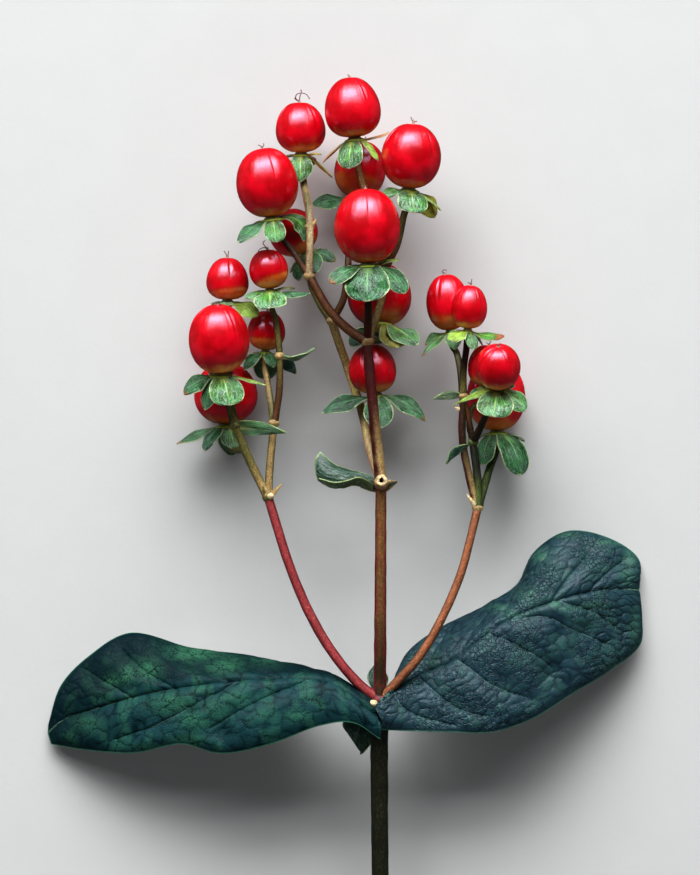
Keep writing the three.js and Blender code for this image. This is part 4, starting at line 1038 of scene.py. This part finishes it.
def leaf_skin(name, shades, crease_shade_and_veins, specular):
    """Quilted leaf. Layers: distance to side vein, to midrib, height of the quilt, distance to the margin;
    then pale patches, underside and the painted shade that darkens the far half and the tip. shades holds the
    two greens, the painted sheen on the quilt's pillows and the patches' colour."""
    g = Graph(name, Specular_IOR_Level=specular, Specular_Tint=(0.75, 0.92, 1.0))
    dark, light, pillow_sheen, pale = shades
    vein, rib, quilt, margin, _ = g.layer("veins")
    patch, under, painted_shade, _, _ = g.layer("patches")
    cloud = g.ramp(g.speckle(4.0, 4), 0.35, 0.65)
    grain = g.speckle(0.35, 3)
    # The place, bent so that the lines of the nets wander.
    bent = g.mix(0.0006, g.place, g.noise(g.place, 700.0, 2.0, "Color"), "LINEAR_LIGHT")
    crease = g.net(0.95, bent)
    # worn is not wear: it marks patches where the crackle's painted crease shade and furrows are strong.
    worn = g.ramp(g.speckle(8.0, 2), 0.40, 0.60) * crease_shade_and_veins
    colour = g.mix(cloud, dark, light)
    # Painted sheen: the tops of the quilt's pillows are lighter.
    colour = g.mix(g.ramp(quilt, 0.35, 0.95, 0.0, 0.5), colour, pillow_sheen)
    # Painted shade over the far half and the tip.
    colour = g.mix(painted_shade * 0.92, colour, dark)
    colour = g.mix(patch * g.ramp(quilt * 0.2 + grain, 0.42, 0.72), colour, pale)
    # Painted shade in the creases of the crackle.
    colour = g.mix(g.ramp(crease, 0.0, 0.10, 0.6, 0.0) * worn, colour, LEAF_CREASE_SHADE)
    colour = g.mix(g.ramp(vein, 0.050, 0.012) * (0.75 * crease_shade_and_veins), colour, LEAF_VEIN)
    colour = g.mix(g.ramp(rib, 0.05, 0.0) * 0.6, colour, LEAF_RIB)
    colour = g.mix(g.ramp(margin, 0.09, 0.02) * 0.6, colour, LEAF_RIM)
    colour = g.mix(under * 0.7, colour, LEAF_UNDERSIDE)
    rough = grain * 0.20 + 0.24 + painted_shade * 0.12
    furrows = g.ramp(crease, 0.0, 0.14) * worn
    pores = g.ramp(g.net(0.45, bent), 0.0, 0.3)
    return g.finish(colour, rough, (furrows, 0.10), (pores, 0.02), (grain, 0.035))


def bark_skin():
    """Bark. Layers: its colour; then place round the stem, along it, and dryness."""
    g = Graph("bark", Specular_IOR_Level=0.35)
    bark = g.layer("bark")[4]
    around, along, dry, _, _ = g.layer("grain")
    speck = g.speckle(0.40, 2)
    streak = g.noise(g.put("CombineXYZ", {0: around * 9.0, 1: along * 45.0}), 1.6, 3.0)
    darker = g.mix(1.0, bark, BARK_SHADE, "MULTIPLY")
    lighter = g.mix(1.0, g.mix(1.0, bark, BARK_LIGHT, "MULTIPLY"), BARK_DUST, "ADD")
    colour = g.mix(g.ramp(streak, 0.45, 0.75, 0.0, 0.6), bark, darker)
    colour = g.mix(g.ramp(speck, 0.55, 0.66, 0.0, 0.65), colour, darker)
    flecks = g.ramp(speck, 0.45, 0.34) * g.ramp(streak, 0.62, 0.42)
    colour = g.mix(flecks * 0.8, colour, lighter)
    rough = streak * 0.2 + 0.28 + dry * 0.3
    return g.finish(colour, rough, (streak, 0.12), (g.speckle(0.2, 2), 0.06))


# ---- berries
def berry_axis(number):
    lean, nod = (math.radians(a) for a in BERRIES[number][5:7])
    return np.array([math.sin(lean) * math.cos(nod), math.cos(lean) * math.cos(nod), math.sin(nod)])


def berry_turn(number):
    """The rotation that stands a thing built along +Y on a berry's axis."""
    turn = Vector((0, 1, 0)).rotation_difference(Vector(berry_axis(number)))
    return np.array(turn.to_matrix())


def below_berry(number, distance):
    x, y, z, _, height = BERRIES[number][:5]
    return np.array([x, y, z]) - berry_axis(number) * (height / 2 + distance)


def berry_grid(number):
    """Turn and slope of each point of a berry, its distance from the axis and its level. The
    points crowd together at the seams."""
    width, height, _, _, skew = BERRIES[number][3:]
    step = turns_of(BERRY_SIDES)
    turn = (math.radians(SKINS[number][4]) + step - 0.85 * np.sin(3 * step) / 3)[None, :]
    slope = np.pi * np.arange(1, BERRY_ROWS)[:, None] / BERRY_ROWS
    radius = width / 2 * np.sin(slope) ** np.where(slope > np.pi / 2, *BERRY_FULLNESS)
    level = -height / 2 * np.cos(slope) - skew * height * np.sin(slope) ** 2
    return turn, slope, radius, level


def berry_layers(number, turn, level, seam):
    """Layers of a berry's skin, from its foot over its rings to its tip."""
    band, climb_turn, climb, warmth = SKINS[number][:4]
    share = level / BERRIES[number][4] + 0.5
    edge = band + climb * np.cos(turn - math.radians(climb_turn))
    edge = edge + 0.035 * noise(stacked(np.sin(turn) * 3, np.cos(turn) * 3, level), 1.2, number)
    unripe = 1 - smoothstep(edge - 0.10, edge + 0.16, share)
    skin = colours(unripe, seam, 0.0, warmth)
    lie = colours(np.sin(turn) / 2 + 0.5, np.cos(turn) / 2 + 0.5, share)
    return {
        "skin": with_poles((1, 0, 0, warmth), skin, (0, 0, 0, warmth)),
        "lie": with_poles((0.5, 0.5, 0, 1), lie, (0.5, 0.5, 1, 1)),
    }


def flesh(number):
    """The fruit: three shallow seams, each a groove with a low lip, run down from its tip."""
    x, y, z, _, height = BERRIES[number][:5]
    seam_turn, seam_depth = SKINS[number][4:]
    turn, slope, radius, level = berry_grid(number)
    off_turn = turn - math.radians(seam_turn)
    share = level / height + 0.5
    fade = smoothstep(0.42, 0.78, share)
    off_seam = radius * ((off_turn + np.pi / 3) % (2 * np.pi / 3) - np.pi / 3)
    from_groove = off_seam - 0.05
    groove = bell(from_groove, np.where(from_groove < 0, 0.22, 0.50))
    depth = seam_depth * (groove - 0.35 * bell(off_seam + 0.40, 0.30))
    swell = 1 - 0.014 * np.cos(3 * off_turn) * np.sin(slope)
    round_radius = radius * swell - fade * depth
    dimple = 0.12 * bell(radius, 1.0) * (share > 0.5) - 0.15 * bell(radius, 1.6) * (share < 0.5)
    local = stacked(round_radius * np.sin(turn), level - dimple, round_radius * np.cos(turn))
    local = local + local / height * (0.16 * noise(local + 40 * number, 4.5)[..., None])
    local = with_poles((0, -height / 2 + 0.15, 0), local, (0, height / 2 - 0.12, 0))
    points = local @ berry_turn(number).T + (x, y, z)
    points[:, 2] = np.maximum(points[:, 2], 0.0)
    # The seam's line carries the skin's painted shade in its groove.
    layers = berry_layers(number, turn, level, fade * bell(off_seam, 0.13))
    return Shape(points, pole_faces(BERRY_ROWS - 1, BERRY_SIDES), **layers)


def style(number):
    """The dried style on a berry's tip, and its threads."""
    x, y, z, _, height = BERRIES[number][:5]
    tall, wide, paleness = STYLES.get(number, STYLE)
    turn = berry_turn(number)
    profile = [  # level over the tip, and radius as a share of the style's
        (-0.9, 0.8), (-0.45, 1.9), (-0.28, 1.8), (-0.16, 1.1), (0.15, 1.0), (0.7 * tall, 0.8), (tall, 0.45),
    ]
    levels, radii = np.array(profile).T
    rings, faces = turned(height / 2 + levels, wide * radii, STYLE_SIDES)
    lumps = 0.07 * noise(rings + 17 * number, 0.35)[..., None]
    rings += lumps * rings / np.linalg.norm(rings, axis=-1)[..., None]
    pale = np.interp(levels, [-0.9, -0.2, 0.1, tall], [0.9, 1.0, paleness, paleness / 2])
    skin = colours(0.0, 0.0, 1.0, np.repeat(pale, STYLE_SIDES))
    tip = (0.5, 0.5, 1, 1)
    shapes = [Shape(rings.reshape(-1, 3) @ turn.T + (x, y, z), faces, skin=skin, lie=tip)]
    foot = np.array([x, y, z]) + turn @ (0, height / 2 + 0.1, 0)
    for path in THREADS.get(number, DEFAULT_THREADS):
        points = [(0, 0, 0), *path]
        centres = spline(points, 4 * len(points)) + foot
        radii = np.linspace(THREAD_RADIUS, THREAD_THIN_RADIUS, len(centres))
        radii[-2:] = THREAD_RADIUS
        rings, faces = tube(centres, radii[:, None], THREAD_SIDES)
        shapes.append(Shape(rings, faces, skin=(0, 0, 1, 0.1), lie=tip))
    return shapes


def add_berry(number, material):
    mesh = mesh_of("fruit", together([flesh(number), *style(number)]), material)
    piece(f"fruit_{number:02d}", mesh, f"berry_{number:02d}", crease=60)


# ---- calyces
# Tint of a blade by the name of its colour, and how thick its frost with painted sheen is.
TINTS = {
    "light": (1.85, 1.65, 1.0),
    "burnt": (1.7, 1.6, 1.05),
    "fresh": (2.4, 2.4, 1.5),
    "green": (0.7, 0.95, 0.95),
    "worn": (0.7, 0.95, 0.95),
    # dark: partly the blade's own darker green, partly painted shade on blades that lie in shade, most of
    # them sepals hanging down behind their berry.
    "dark": (0.45, 0.66, 0.85),
    "olive": (1.9, 1.2, 0.35),
    "yellow": (3.0, 2.8, 1.2),
    "gold": (5.0, 2.9, 0.8),
    "rusty": (3.6, 0.85, 0.4),
    "pale": (0.85, 1.1, 1.8),
    "deep": (0.22, 0.36, 0.55),
    "teal": (0.42, 0.46, 0.52),
    "tipped": (2.6, 2.1, 1.0),
}
FROST_SHEENS = {
    "light": 1.0, "burnt": 1.0, "green": 0.5, "worn": 0.5,
    "dark": 0.45, "deep": 0.3, "teal": 0.45, "fresh": 0.4,
}
DEFAULT_FROST_SHEEN = 0.1
# How far a blade has dried: a brown tip above 0, down to -1 for one that is straw all over.
DRYNESS = {
    "tipped": 2.4, "burnt": 0.5, "worn": 0.4,
    "olive": -0.6, "yellow": -0.4, "pale": -0.85, "rusty": -0.9, "gold": -1.0,
}


def blade_layers(u, v, tone):
    """Layers of a sepal or small leaf, for its upper face at 0 and its lower one at 1."""
    tint = (*TINTS[tone], DRYNESS.get(tone, 0.0))
    return {
        "blade": lambda under: colours((v + 1) / 2, u, FROST_SHEENS.get(tone, DEFAULT_FROST_SHEEN), under),
        "tint": lambda _: np.broadcast_to(np.array(tint), (*u.shape, 4)),
    }


def outline(u, bluntness, neck=BLADE_NECK):
    """Share of the full width: a blunt blade is widest past its middle, a sharp one before."""
    moved = u ** (1.7 - bluntness)
    return np.maximum(np.sin(np.pi * (neck + (1 - neck) * moved)) ** bluntness, BLADE_TIP_WIDTH)


def sepal_lift(u, v, half, length, width, draw):
    """How far a sepal's points rise from its plain arc: cupped, waved, keeled and puckered."""
    wave = 0.035 * width * v**2 * np.sin(2 * np.pi * (draw.uniform(1.2, 2.0) * u + draw.random()) + 1.5 * v)
    keel = -0.10 * bell(v, 0.16) * np.sin(np.pi * np.minimum(1, u + 0.15))
    pucker = 0.05 * noise(stacked(u * length, v * half, draw.random() * 90), 1.1)
    return -SEPAL_CUP * half * v**2 * u + wave * smoothstep(0.1, 0.6, u) + keel + pucker * u


def sepal(row, cup_radius, draw):
    """A sepal in its berry's frame: it leaves the cup sideways and bends down in an arc."""
    tone, turn, droop, length, width = row[:5]
    twist, curl, bluntness = (*row[5:], *(0, SEPAL_CURL, SEPAL_BLUNTNESS)[len(row) - 5 :])
    u, v = blade_grid(SEPAL_ROWS, SEPAL_COLUMNS)
    start = math.radians(droop - curl / 2)
    bend = math.radians(curl) / length
    angle = start + bend * u * length
    out = SEPAL_ROOT * cup_radius + (np.sin(angle) - math.sin(start)) / bend
    down = SOLID_SEPAL_THICKNESS / 2 + (math.cos(start) - np.cos(angle)) / bend
    side = math.radians(turn)
    outward = np.array([math.sin(side), 0, math.cos(side)])
    sideways = np.array([math.cos(side), 0, -math.sin(side)])
    face = outward * np.sin(angle)[..., None] + np.array([0, 1, 0]) * np.cos(angle)[..., None]
    roll = (math.radians(twist) * np.sign(turn) * np.minimum(1, 2 * u))[..., None]
    across = sideways * np.cos(roll) + face * np.sin(roll)
    face = face * np.cos(roll) - sideways * np.sin(roll)
    half = width / 2 * outline(u, bluntness)
    lift = sepal_lift(u, v, half, length, width, draw)
    middle = stacked(0.0, -down, 0.0) + outward * out[..., None] + across * (half * v)[..., None]
    middle = middle + face * lift[..., None]
    thickness = SEPAL_THICKNESS * (1 - 0.55 * np.abs(v) ** 3) * (1 - 0.35 * u)
    return sheet(middle, thickness, **blade_layers(u, v, tone))


def cup(radius):
    """The cup that carries the sepals. It reaches up into the berry and down to the stalk."""
    profile = [  # level, radius and place along a blade that it is coloured as
        (-CUP_HEIGHT - 0.30, 0.50, 0.1), (-CUP_HEIGHT, CUP_FOOT_RADIUS * 0.92, 0.1),
        (-0.8 * CUP_HEIGHT, 0.95, 0.1), (-0.35 * CUP_HEIGHT, radius, 0.2),
        (-0.1 * CUP_HEIGHT, 0.95 * radius, 0.6), (0.08, 0.7 * radius, 1.0), (0.7, 0.45 * radius, 1.0),
    ]
    levels, radii, along = np.array(profile).T
    rings, faces = turned(levels, radii, CUP_SIDES)
    blade = np.repeat([(0.5, a, 0.0, 0.0) for a in along], CUP_SIDES, axis=0)
    return Shape(rings, faces, blade=blade, tint=(*TINTS["olive"], 0.0))


def add_calyx(number, material):
    draw = random.Random(100 + number)
    radius = max(BERRIES[number][3] * CUP_TO_BERRY, CUP_FOOT_RADIUS + CUP_FLARE)
    shapes = [cup(radius)] + [sepal(row, radius, draw) for row in SEPALS[number]]
    turn, foot = berry_turn(number), below_berry(number, CLEARANCE)
    for shape in shapes:
        shape.points = shape.points @ turn.T + foot
    name = f"sepals_{number:02d}"
    piece(name, fused(name, shapes, material), f"calyx_{number:02d}")


# ---- stem
def opaque(tint):
    return np.concatenate([tint, np.ones_like(tint[..., :1])], axis=-1)


def stem_points(place):
    if isinstance(place, str):
        return [FORK[place]]
    if isinstance(place, tuple):
        return [place]
    end = CUP_HEIGHT + CLEARANCE
    return [below_berry(place, end + CLEARANCE + PEDICEL_STRAIGHT), below_berry(place, end)]


def bark_of(index, row, rings, share, turns):
    """Bark round a stem: from one colour to another along its middle, a third on its sides and underside.
    These are partly the bark's own colours and partly painted light: a highlight along the lit top, shade on
    the flanks and underside.
    """
    root, tip, side = (np.array(BARK[name]) for name in row[:3])
    tint = root + (tip - root) * smoothstep(0.12, 0.6, share)
    leaning = turns + math.radians(row[5])
    # Painted shade: the flanks and the whole underside take the side bark.
    side_bark_and_shade = np.where(np.sin(leaning) > 0, smoothstep(0.5, 0.95, np.abs(np.cos(leaning))), 1.0)
    side_bark_and_shade = np.clip(side_bark_and_shade + 0.35 * noise(rings, 1.6, 90 + index), 0, 1)[..., None]
    tint = tint[:, None] * (1 - side_bark_and_shade) + side * side_bark_and_shade
    return opaque(tint * (1 + 0.22 * noise(rings, 3.0, 50 + index))[..., None])


def shoot(index, row):
    """One stem, ridged along its length, and wider at its foot unless it is the main one."""
    first, last = row[3:5]
    points = [p for place in row[6:] for p in stem_points(place)]
    length = np.linalg.norm(np.diff(np.array(points, float), axis=0), axis=1).sum()
    count = max(8, round(length / STEM_STEP))
    centres = spline(points, count)
    share = np.linspace(0, 1, count)[:, None]
    turns = turns_of(STEM_SIDES)
    collar = 0.18 * bell(share * length, 1.6) if index else 0.0
    ridges = 0.035 * np.cos(2 * turns + index) + 0.02 * np.cos(5 * turns + 2 * index)
    radii = (first + (last - first) * share) * (1 + ridges + collar)
    rings, faces = tube(centres, radii, STEM_SIDES)
    rings = rings + (rings - centres[:, None]) * (0.05 * noise(rings, 2.2, index))[..., None]
    bark = bark_of(index, row, rings, share, turns)
    around = np.abs(np.arange(STEM_SIDES) / STEM_SIDES - 0.5) * 2
    grain = colours(around[None], share * length / 100 + index * 0.37, 0.0)
    return Shape(rings, faces, bark=bark.reshape(-1, 4), grain=grain.reshape(-1, 4))


def swelling(index, row):
    """A swollen joint: a knobbly ball with a ring round it."""
    place, radius, bark = row
    place = FORK[place] if isinstance(place, str) else place
    slopes = np.linspace(-1, 1, SWELLING_ROWS)
    sizes = radius * np.sqrt(np.maximum(1 - slopes**2, 0.01)) * (1 + 0.05 * bell(slopes, 0.18))
    rings, faces = turned(radius * 0.95 * slopes, sizes, SWELLING_SIDES)
    rings = rings * (1 + 0.08 * noise(rings + 9 * index, 0.9)[..., None]) + place
    return Shape(rings, faces, bark=(*BARK[bark], 1), grain=(0.5, 0.1 * index, 0.6, 1))


def bract(row):
    """A dry scale at a joint, paler along its rim."""
    root, tip, width, bark = row
    root, tip = np.array(root), np.array(tip)
    side = np.cross(tip - root, (0, 0, 1.0))
    side /= np.linalg.norm(side)
    u, v = np.meshgrid(np.linspace(-0.15, 1.1, 12), np.linspace(-1, 1, 7), indexing="ij")
    half = width / 2 * (1 - 0.85 * np.clip(u, 0, 1) ** 1.5)
    middle = root + (tip - root) * u[..., None] + side * (half * v)[..., None]
    middle[..., 2] += 0.25 * np.sin(2.5 * u) - 0.3 * v**2 * half
    rim = smoothstep(0.45, 0.9, np.abs(v))[..., None]
    tint = opaque(np.array(BARK[bark]) * 1.5 * (1 - rim) + np.array(BARK["tan"]) * rim)
    return sheet(middle, BRACT_THICKNESS, bark=lambda _: tint, grain=lambda _: colours(0.5, u, 1.0))


def stub():
    """The cut-off side shoot, with pale wood round its dark pith."""
    foot, end, first, last = STUB
    foot, end = np.array(foot), np.array(end)
    length = np.linalg.norm(end - foot)
    way = (end - foot) / length
    rows = [  # share of its length, radius and bark
        (0.0, first, "olive"), (0.5, first, "pink"), (0.85, last * 0.98, "tan"), (0.97, last * 0.88, "tan"),
        (1.0, last * 0.74, "cream"), (0.98, STUB_PITH * 1.25, "cream"), (0.92, STUB_PITH, "umber"),
        (0.55, STUB_PITH * 0.6, "dark"),
    ]
    across = np.cross(way, (1.0, 0, 0))
    across /= np.linalg.norm(across)
    up = np.cross(across, way)
    turns = turns_of(STUB_SIDES)[:, None]
    spoke = across * np.cos(turns) + up * np.sin(turns)
    rings = np.array([foot + way * length * level + spoke * radius for level, radius, _ in rows])
    level = np.array([[level] for level, _, _ in rows])
    rings += (0.22 * noise(rings, 0.45) * level)[..., None] * spoke
    rings += (0.30 * noise(rings, 0.5, 3) * smoothstep(0.8, 1.0, level))[..., None] * way
    tint = np.repeat([(*BARK[bark], 1) for _, _, bark in rows], STUB_SIDES, axis=0)
    return Shape(rings, tube_faces(len(rows), STUB_SIDES), bark=tint, grain=(0.5, 0.5, 0.8, 1))


def add_stem(material):
    shapes = [shoot(i, row) for i, row in enumerate(STEMS)]
    shapes += [swelling(i, row) for i, row in enumerate(JOINTS)]
    shapes += [bract(row) for row in BRACTS] + [stub()]
    piece("spray_stem", fused("spray_stem", shapes, material), "stem", crease=55)


# ---- leaves
class LeafGrid:
    """The plain sheet of a big leaf, and how each of its points lies on it."""

    def __init__(self, leaf):
        self.middle, self.u, self.v = plain_leaf(leaf, leaf["rows"] + 1, BIG_LEAF_COLUMNS + 1)
        rib = BIG_LEAF_COLUMNS // 2
        along = run_of(self.middle[:, rib])
        across = run_of(self.middle, axis=1)
        to_edge = np.minimum(across, across[:, -1:] - across)
        self.along = along[:, None] + 0 * self.v
        self.off_rib = np.abs(across - across[:, rib : rib + 1])
        self.margin = np.minimum(to_edge, (1 - self.u) * along[-1] * 0.8)
        self.vein = distance_to(leaf["veins"], self.middle[..., :2])
        self.place = stacked(self.along, across, 0.0)

    def off(self, x, y, wide, high):
        """Distance in plan from a place, in shares of a width and a height."""
        return np.hypot((self.middle[..., 0] - x) / wide, (self.middle[..., 1] - y) / high)


def plain_leaf(leaf, rows, columns):
    """The plain sheet of a big leaf, as a grid from root to tip and from near to far."""
    rib, far, near = (spline(leaf[key], rows)[:, None] for key in ("midrib", "far", "near"))
    u, v = np.linspace(0, 1, rows)[:, None], np.linspace(-1, 1, columns)[None]
    edge = np.where(v[..., None] > 0, far, near)
    middle = rib + (edge - rib) * np.abs(v)[..., None]
    arch = BIG_LEAF_BULGE * 4 * np.abs(v) * (1 - np.abs(v)) * np.sin(np.pi * u)
    middle[..., 2] += arch
    middle[..., 1] += np.where(v > 0, FAR_HALF_SWING * arch, 0)
    root = spline(leaf["root"], columns)
    middle += (root - middle[0]) * (1 - smoothstep(0, CLASP_LENGTH, u))[..., None]
    return face_up(middle, u + 0 * v, v + 0 * u)


def quilting(leaf, on):
    """Pillows between the fine veins, the crackle on them, and a random number of each."""
    seed = leaf["seed"]
    warp = 0.35 * noise(on.place, 2.2, seed)
    half = 40 * (on.v > 0)
    long, wide, _ = leaf["pillow"]
    x, y = (on.along - 0.35 * on.off_rib) / long + warp, on.off_rib / wide - warp + half
    first, second, tag = cells(x, y, seed)
    pillow = 1 - np.exp(-((second - first) / 0.22))
    first, second, _ = cells(on.along / CRACKLE + 2 * warp, on.off_rib / CRACKLE + half, seed + 1)
    crackle = 1 - np.exp(-((second - first) / 0.12))
    return pillow, crackle, tag


def leaf_relief(leaf, on, pillow, crackle, tag):
    """Height of the quilt over the plain sheet, with its sunken veins and its dents."""
    strength = leaf["pillow"][2] * (0.75 + 0.5 * noise(on.place, 6.0, leaf["seed"] + 3))
    strength = strength * smoothstep(0.0, 1.6, on.margin) * (0.5 + 0.5 * tag)
    relief = strength * (pillow - 0.6) + 0.14 * strength * (crackle - 0.6)
    relief += 0.55 * smoothstep(0.0, 3.4, np.minimum(on.vein, on.off_rib)) * smoothstep(0, 2.5, on.margin)
    relief -= 0.30 * bell(on.vein, 0.30) * smoothstep(0.2, 1.5, on.margin)
    relief -= 0.50 * bell(on.off_rib, 0.45) * smoothstep(1.0, 0.8, on.u)
    for x, y, radius, depth in leaf["dents"]:
        relief -= depth * bell(on.off(x, y, 1.0, 1.0), radius)
    return relief


def leaf_patches(leaf, on, painted_shade, tag):
    """Strength of the pale patches: those of the table, and faint ones scattered about."""
    patch = 0 * on.u
    for x, y, wide, high, amount in leaf["patches"]:
        patch = np.maximum(patch, amount * bell(on.off(x, y, wide, high), 1.0))
    scattered = smoothstep(0.05, 0.6, noise(on.place, 2.4, leaf["seed"] + 5)) * leaf["mottling"]
    return np.maximum(patch, scattered * (1 - 0.7 * painted_shade)) * (0.6 + 0.4 * tag)


def add_big_leaf(name, material):
    leaf = BIG_LEAVES[name]
    on = LeafGrid(leaf)
    pillow, crackle, tag = quilting(leaf, on)
    relief = leaf_relief(leaf, on, pillow, crackle, tag)
    middle = on.middle + normals_of(on.middle) * relief[..., None]
    middle[..., 2] = np.maximum(middle[..., 2], LEAF_FLOOR)
    # Painted shade: the far half and the tip are darkened.
    painted_shade = np.maximum(smoothstep(0.0, 0.3, on.v), smoothstep(0.72, 0.95, on.u)) * leaf["painted_shade"]
    patch = leaf_patches(leaf, on, painted_shade, tag)
    reaches = on.vein + leaf["fading"] * (on.v > 0), on.off_rib, on.margin
    vein, rib, margin = (np.minimum(reach, LAYER_REACH) / LAYER_REACH for reach in reaches)
    shape = sheet(
        middle,
        BIG_LEAF_THICKNESS * (0.45 + 0.55 * smoothstep(0, 0.8, on.margin)),
        veins=lambda _: colours(vein, rib, pillow, margin),
        patches=lambda under: colours(patch, under, painted_shade),
    )
    mesh = mesh_of(name, shape, material)
    piece(name.replace("leaf", "foliage"), mesh, name, crease=70)


def add_small_leaf(name, material):
    tone, root, bow, tip, width, side, *neck = SMALL_LEAVES[name]
    root, bow, tip = (np.array(p) for p in (root, bow, tip))
    across = np.array(side) / np.linalg.norm(side)
    u, v = blade_grid(SMALL_LEAF_ROWS, SMALL_LEAF_COLUMNS)
    t = u[..., None]
    middle = root * (1 - t) ** 2 + bow * 2 * t * (1 - t) + tip * t**2
    half = width / 2 * outline(u, SMALL_LEAF_BLUNTNESS, *neck)
    middle = middle + across * (half * v)[..., None]
    middle, u, v = face_up(middle, u, v)
    lift = 0.10 * width * v**2 * np.sin(7 * u + v) - 0.10 * bell(v, 0.14) + 0.08 * noise(middle, 1.3)
    middle = middle + normals_of(middle) * lift[..., None]
    add_leaflet(name, middle, u, v, tone, material)


def add_folded_leaf(material):
    curves = np.array([spline(points, FOLDED_LEAF_ROWS) for points in FOLDED_LEAF])
    rows = np.array([spline(row, FOLDED_LEAF_COLUMNS) for row in curves.swapaxes(0, 1)])
    u, v = blade_grid(FOLDED_LEAF_ROWS, FOLDED_LEAF_COLUMNS)
    rows, u, v = face_up(rows[:, ::-1], u, v)
    middle = rows + normals_of(rows) * (0.10 * noise(rows, 1.4) + 0.06 * np.sin(9 * u))[..., None]
    add_leaflet("leaf_middle", middle, u, v, "teal", material)


def add_leaflet(name, middle, u, v, tone, material):
    """Puts a small leaf in the scene, thinner towards its edges."""
    shape = sheet(middle, SMALL_LEAF_THICKNESS * (1 - 0.5 * np.abs(v) ** 3), **blade_layers(u, v, tone))
    piece(name.replace("leaf", "leaflet"), mesh_of(name, shape, material), name)


# ---- stage
PICTURE_CENTRE = (-6.0, 52.5)
PICTURE_HEIGHT = 175.0
PICTURE_LEVEL = 15.0
CAMERA_DISTANCE = 1200.0
SENSOR = 36.0
LIT_POINT = (-6, 60, 12)
KEY_WAY = (-0.08, 0.85, 0.52)
FILL_WAY = (0.25, -0.88, 0.40)
LIGHT_TINT = (0.97, 0.985, 1.0)
AIR_TINT = (0.80, 0.88, 1.0, 1)
AIR_STRENGTH = 0.035
FLOOR_GREYS = ((0.54, 0.54, 0.53), (0.57, 0.57, 0.56))
FLOOR_ROUGHNESS = 0.9
FLOOR_REACH = 3000.0


def place(x, y, z):
    return Vector(((x - PLAN_CENTRE[0]) * MM, (y - PLAN_CENTRE[1]) * MM, z * MM))


def link(name, data):
    thing = bpy.data.objects.new(name, data)
    bpy.context.scene.collection.objects.link(thing)
    return thing


def add_camera():
    lens = bpy.data.cameras.new("camera")
    lens.sensor_width = SENSOR
    lens.lens = SENSOR * CAMERA_DISTANCE / PICTURE_HEIGHT
    lens.clip_end = 10
    camera = link("camera", lens)
    camera.location = place(*PICTURE_CENTRE, PICTURE_LEVEL + CAMERA_DISTANCE)
    bpy.context.scene.camera = camera


def add_light(name, way, distance, size, power):
    """A rectangular soft light that looks at the spray from the given way."""
    lamp = bpy.data.lights.new(name, "AREA")
    lamp.shape = "RECTANGLE"
    lamp.size, lamp.size_y = (s * MM for s in size)
    lamp.energy = power
    lamp.color = LIGHT_TINT
    light = link(name, lamp)
    toward = Vector(way).normalized()
    light.location = place(*LIT_POINT) + toward * distance * MM
    light.rotation_euler = toward.to_track_quat("Z", "Y").to_euler()
    return light


def add_floor():
    """Pale floor that reflections don't show: it would lie as a grey patch over the berries."""
    g = Graph("floor_paint")
    paint = g.mix(g.speckle(9.0, 3), *FLOOR_GREYS)
    material = g.finish(paint, FLOOR_ROUGHNESS, (g.speckle(1.2, 2), 0.02))
    reach = FLOOR_REACH * MM
    mesh = bpy.data.meshes.new("floor")
    corners = [(-reach, -reach, 0), (reach, -reach, 0), (reach, reach, 0), (-reach, reach, 0)]
    mesh.from_pydata(corners, [], [(0, 1, 2, 3)])
    mesh.materials.append(material)
    floor = link("floor", mesh)
    floor.visible_glossy = False


def add_lights():
    world = bpy.data.worlds.new("studio")
    bpy.context.scene.world = world
    world.use_nodes = True
    air = world.node_tree.nodes["Background"].inputs
    air["Color"].default_value = AIR_TINT
    air["Strength"].default_value = AIR_STRENGTH
    add_light("key", KEY_WAY, 1500, (2500, 1400), 50.0)
    add_light("key_core", KEY_WAY, 1490, (1300, 620), 28.0)
    fill = add_light("fill", FILL_WAY, 1500, (2400, 1100), 5.0)
    fill.visible_glossy = False
    bpy.context.scene.view_settings.view_transform = "Standard"
    bpy.context.scene.view_settings.look = "None"


# ---- all of it
# Dark, middle and pale green, then the underside's colour and the rim's.
SEPAL_GREENS = (
    (0.002, 0.019, 0.005), (0.016, 0.115, 0.024), (0.26, 0.52, 0.17), (0.11, 0.17, 0.055), (0.56, 0.67, 0.36),
)
LEAFLET_GREENS = (
    (0.006, 0.030, 0.015), (0.022, 0.078, 0.040), (0.14, 0.25, 0.13), (0.20, 0.25, 0.070), (0.25, 0.34, 0.13),
)
# Two greens, the painted sheen on the quilt's pillows and the patches' colour, then the strength of the
# painted crease shade and of the vein lines, and the specular level.
LEAF_LOOKS = {
    "leaf_left": (
        ((0.0015, 0.0085, 0.011), (0.0052, 0.028, 0.032), (0.010, 0.048, 0.054), (0.036, 0.155, 0.078)),
        0.4, 0.05,
    ),
    "leaf_right": (
        ((0.0058, 0.017, 0.025), (0.011, 0.031, 0.043), (0.015, 0.048, 0.060), (0.050, 0.16, 0.09)),
        1.0, 0.20,
    ),
}


def build():
    add_camera()
    add_floor()
    add_lights()
    berry, bark = berry_skin(), bark_skin()
    green = blade_skin("sepal", SEPAL_GREENS, 0.20)
    leaflet = blade_skin("leaflet", LEAFLET_GREENS, 0.22)
    for number in BERRIES:
        add_berry(number, berry)
        add_calyx(number, green)
    add_stem(bark)
    for name in BIG_LEAVES:
        add_big_leaf(name, leaf_skin(f"quilted_{name}", *LEAF_LOOKS[name]))
    for name in SMALL_LEAVES:
        add_small_leaf(name, leaflet)
    add_folded_leaf(leaflet)


build()
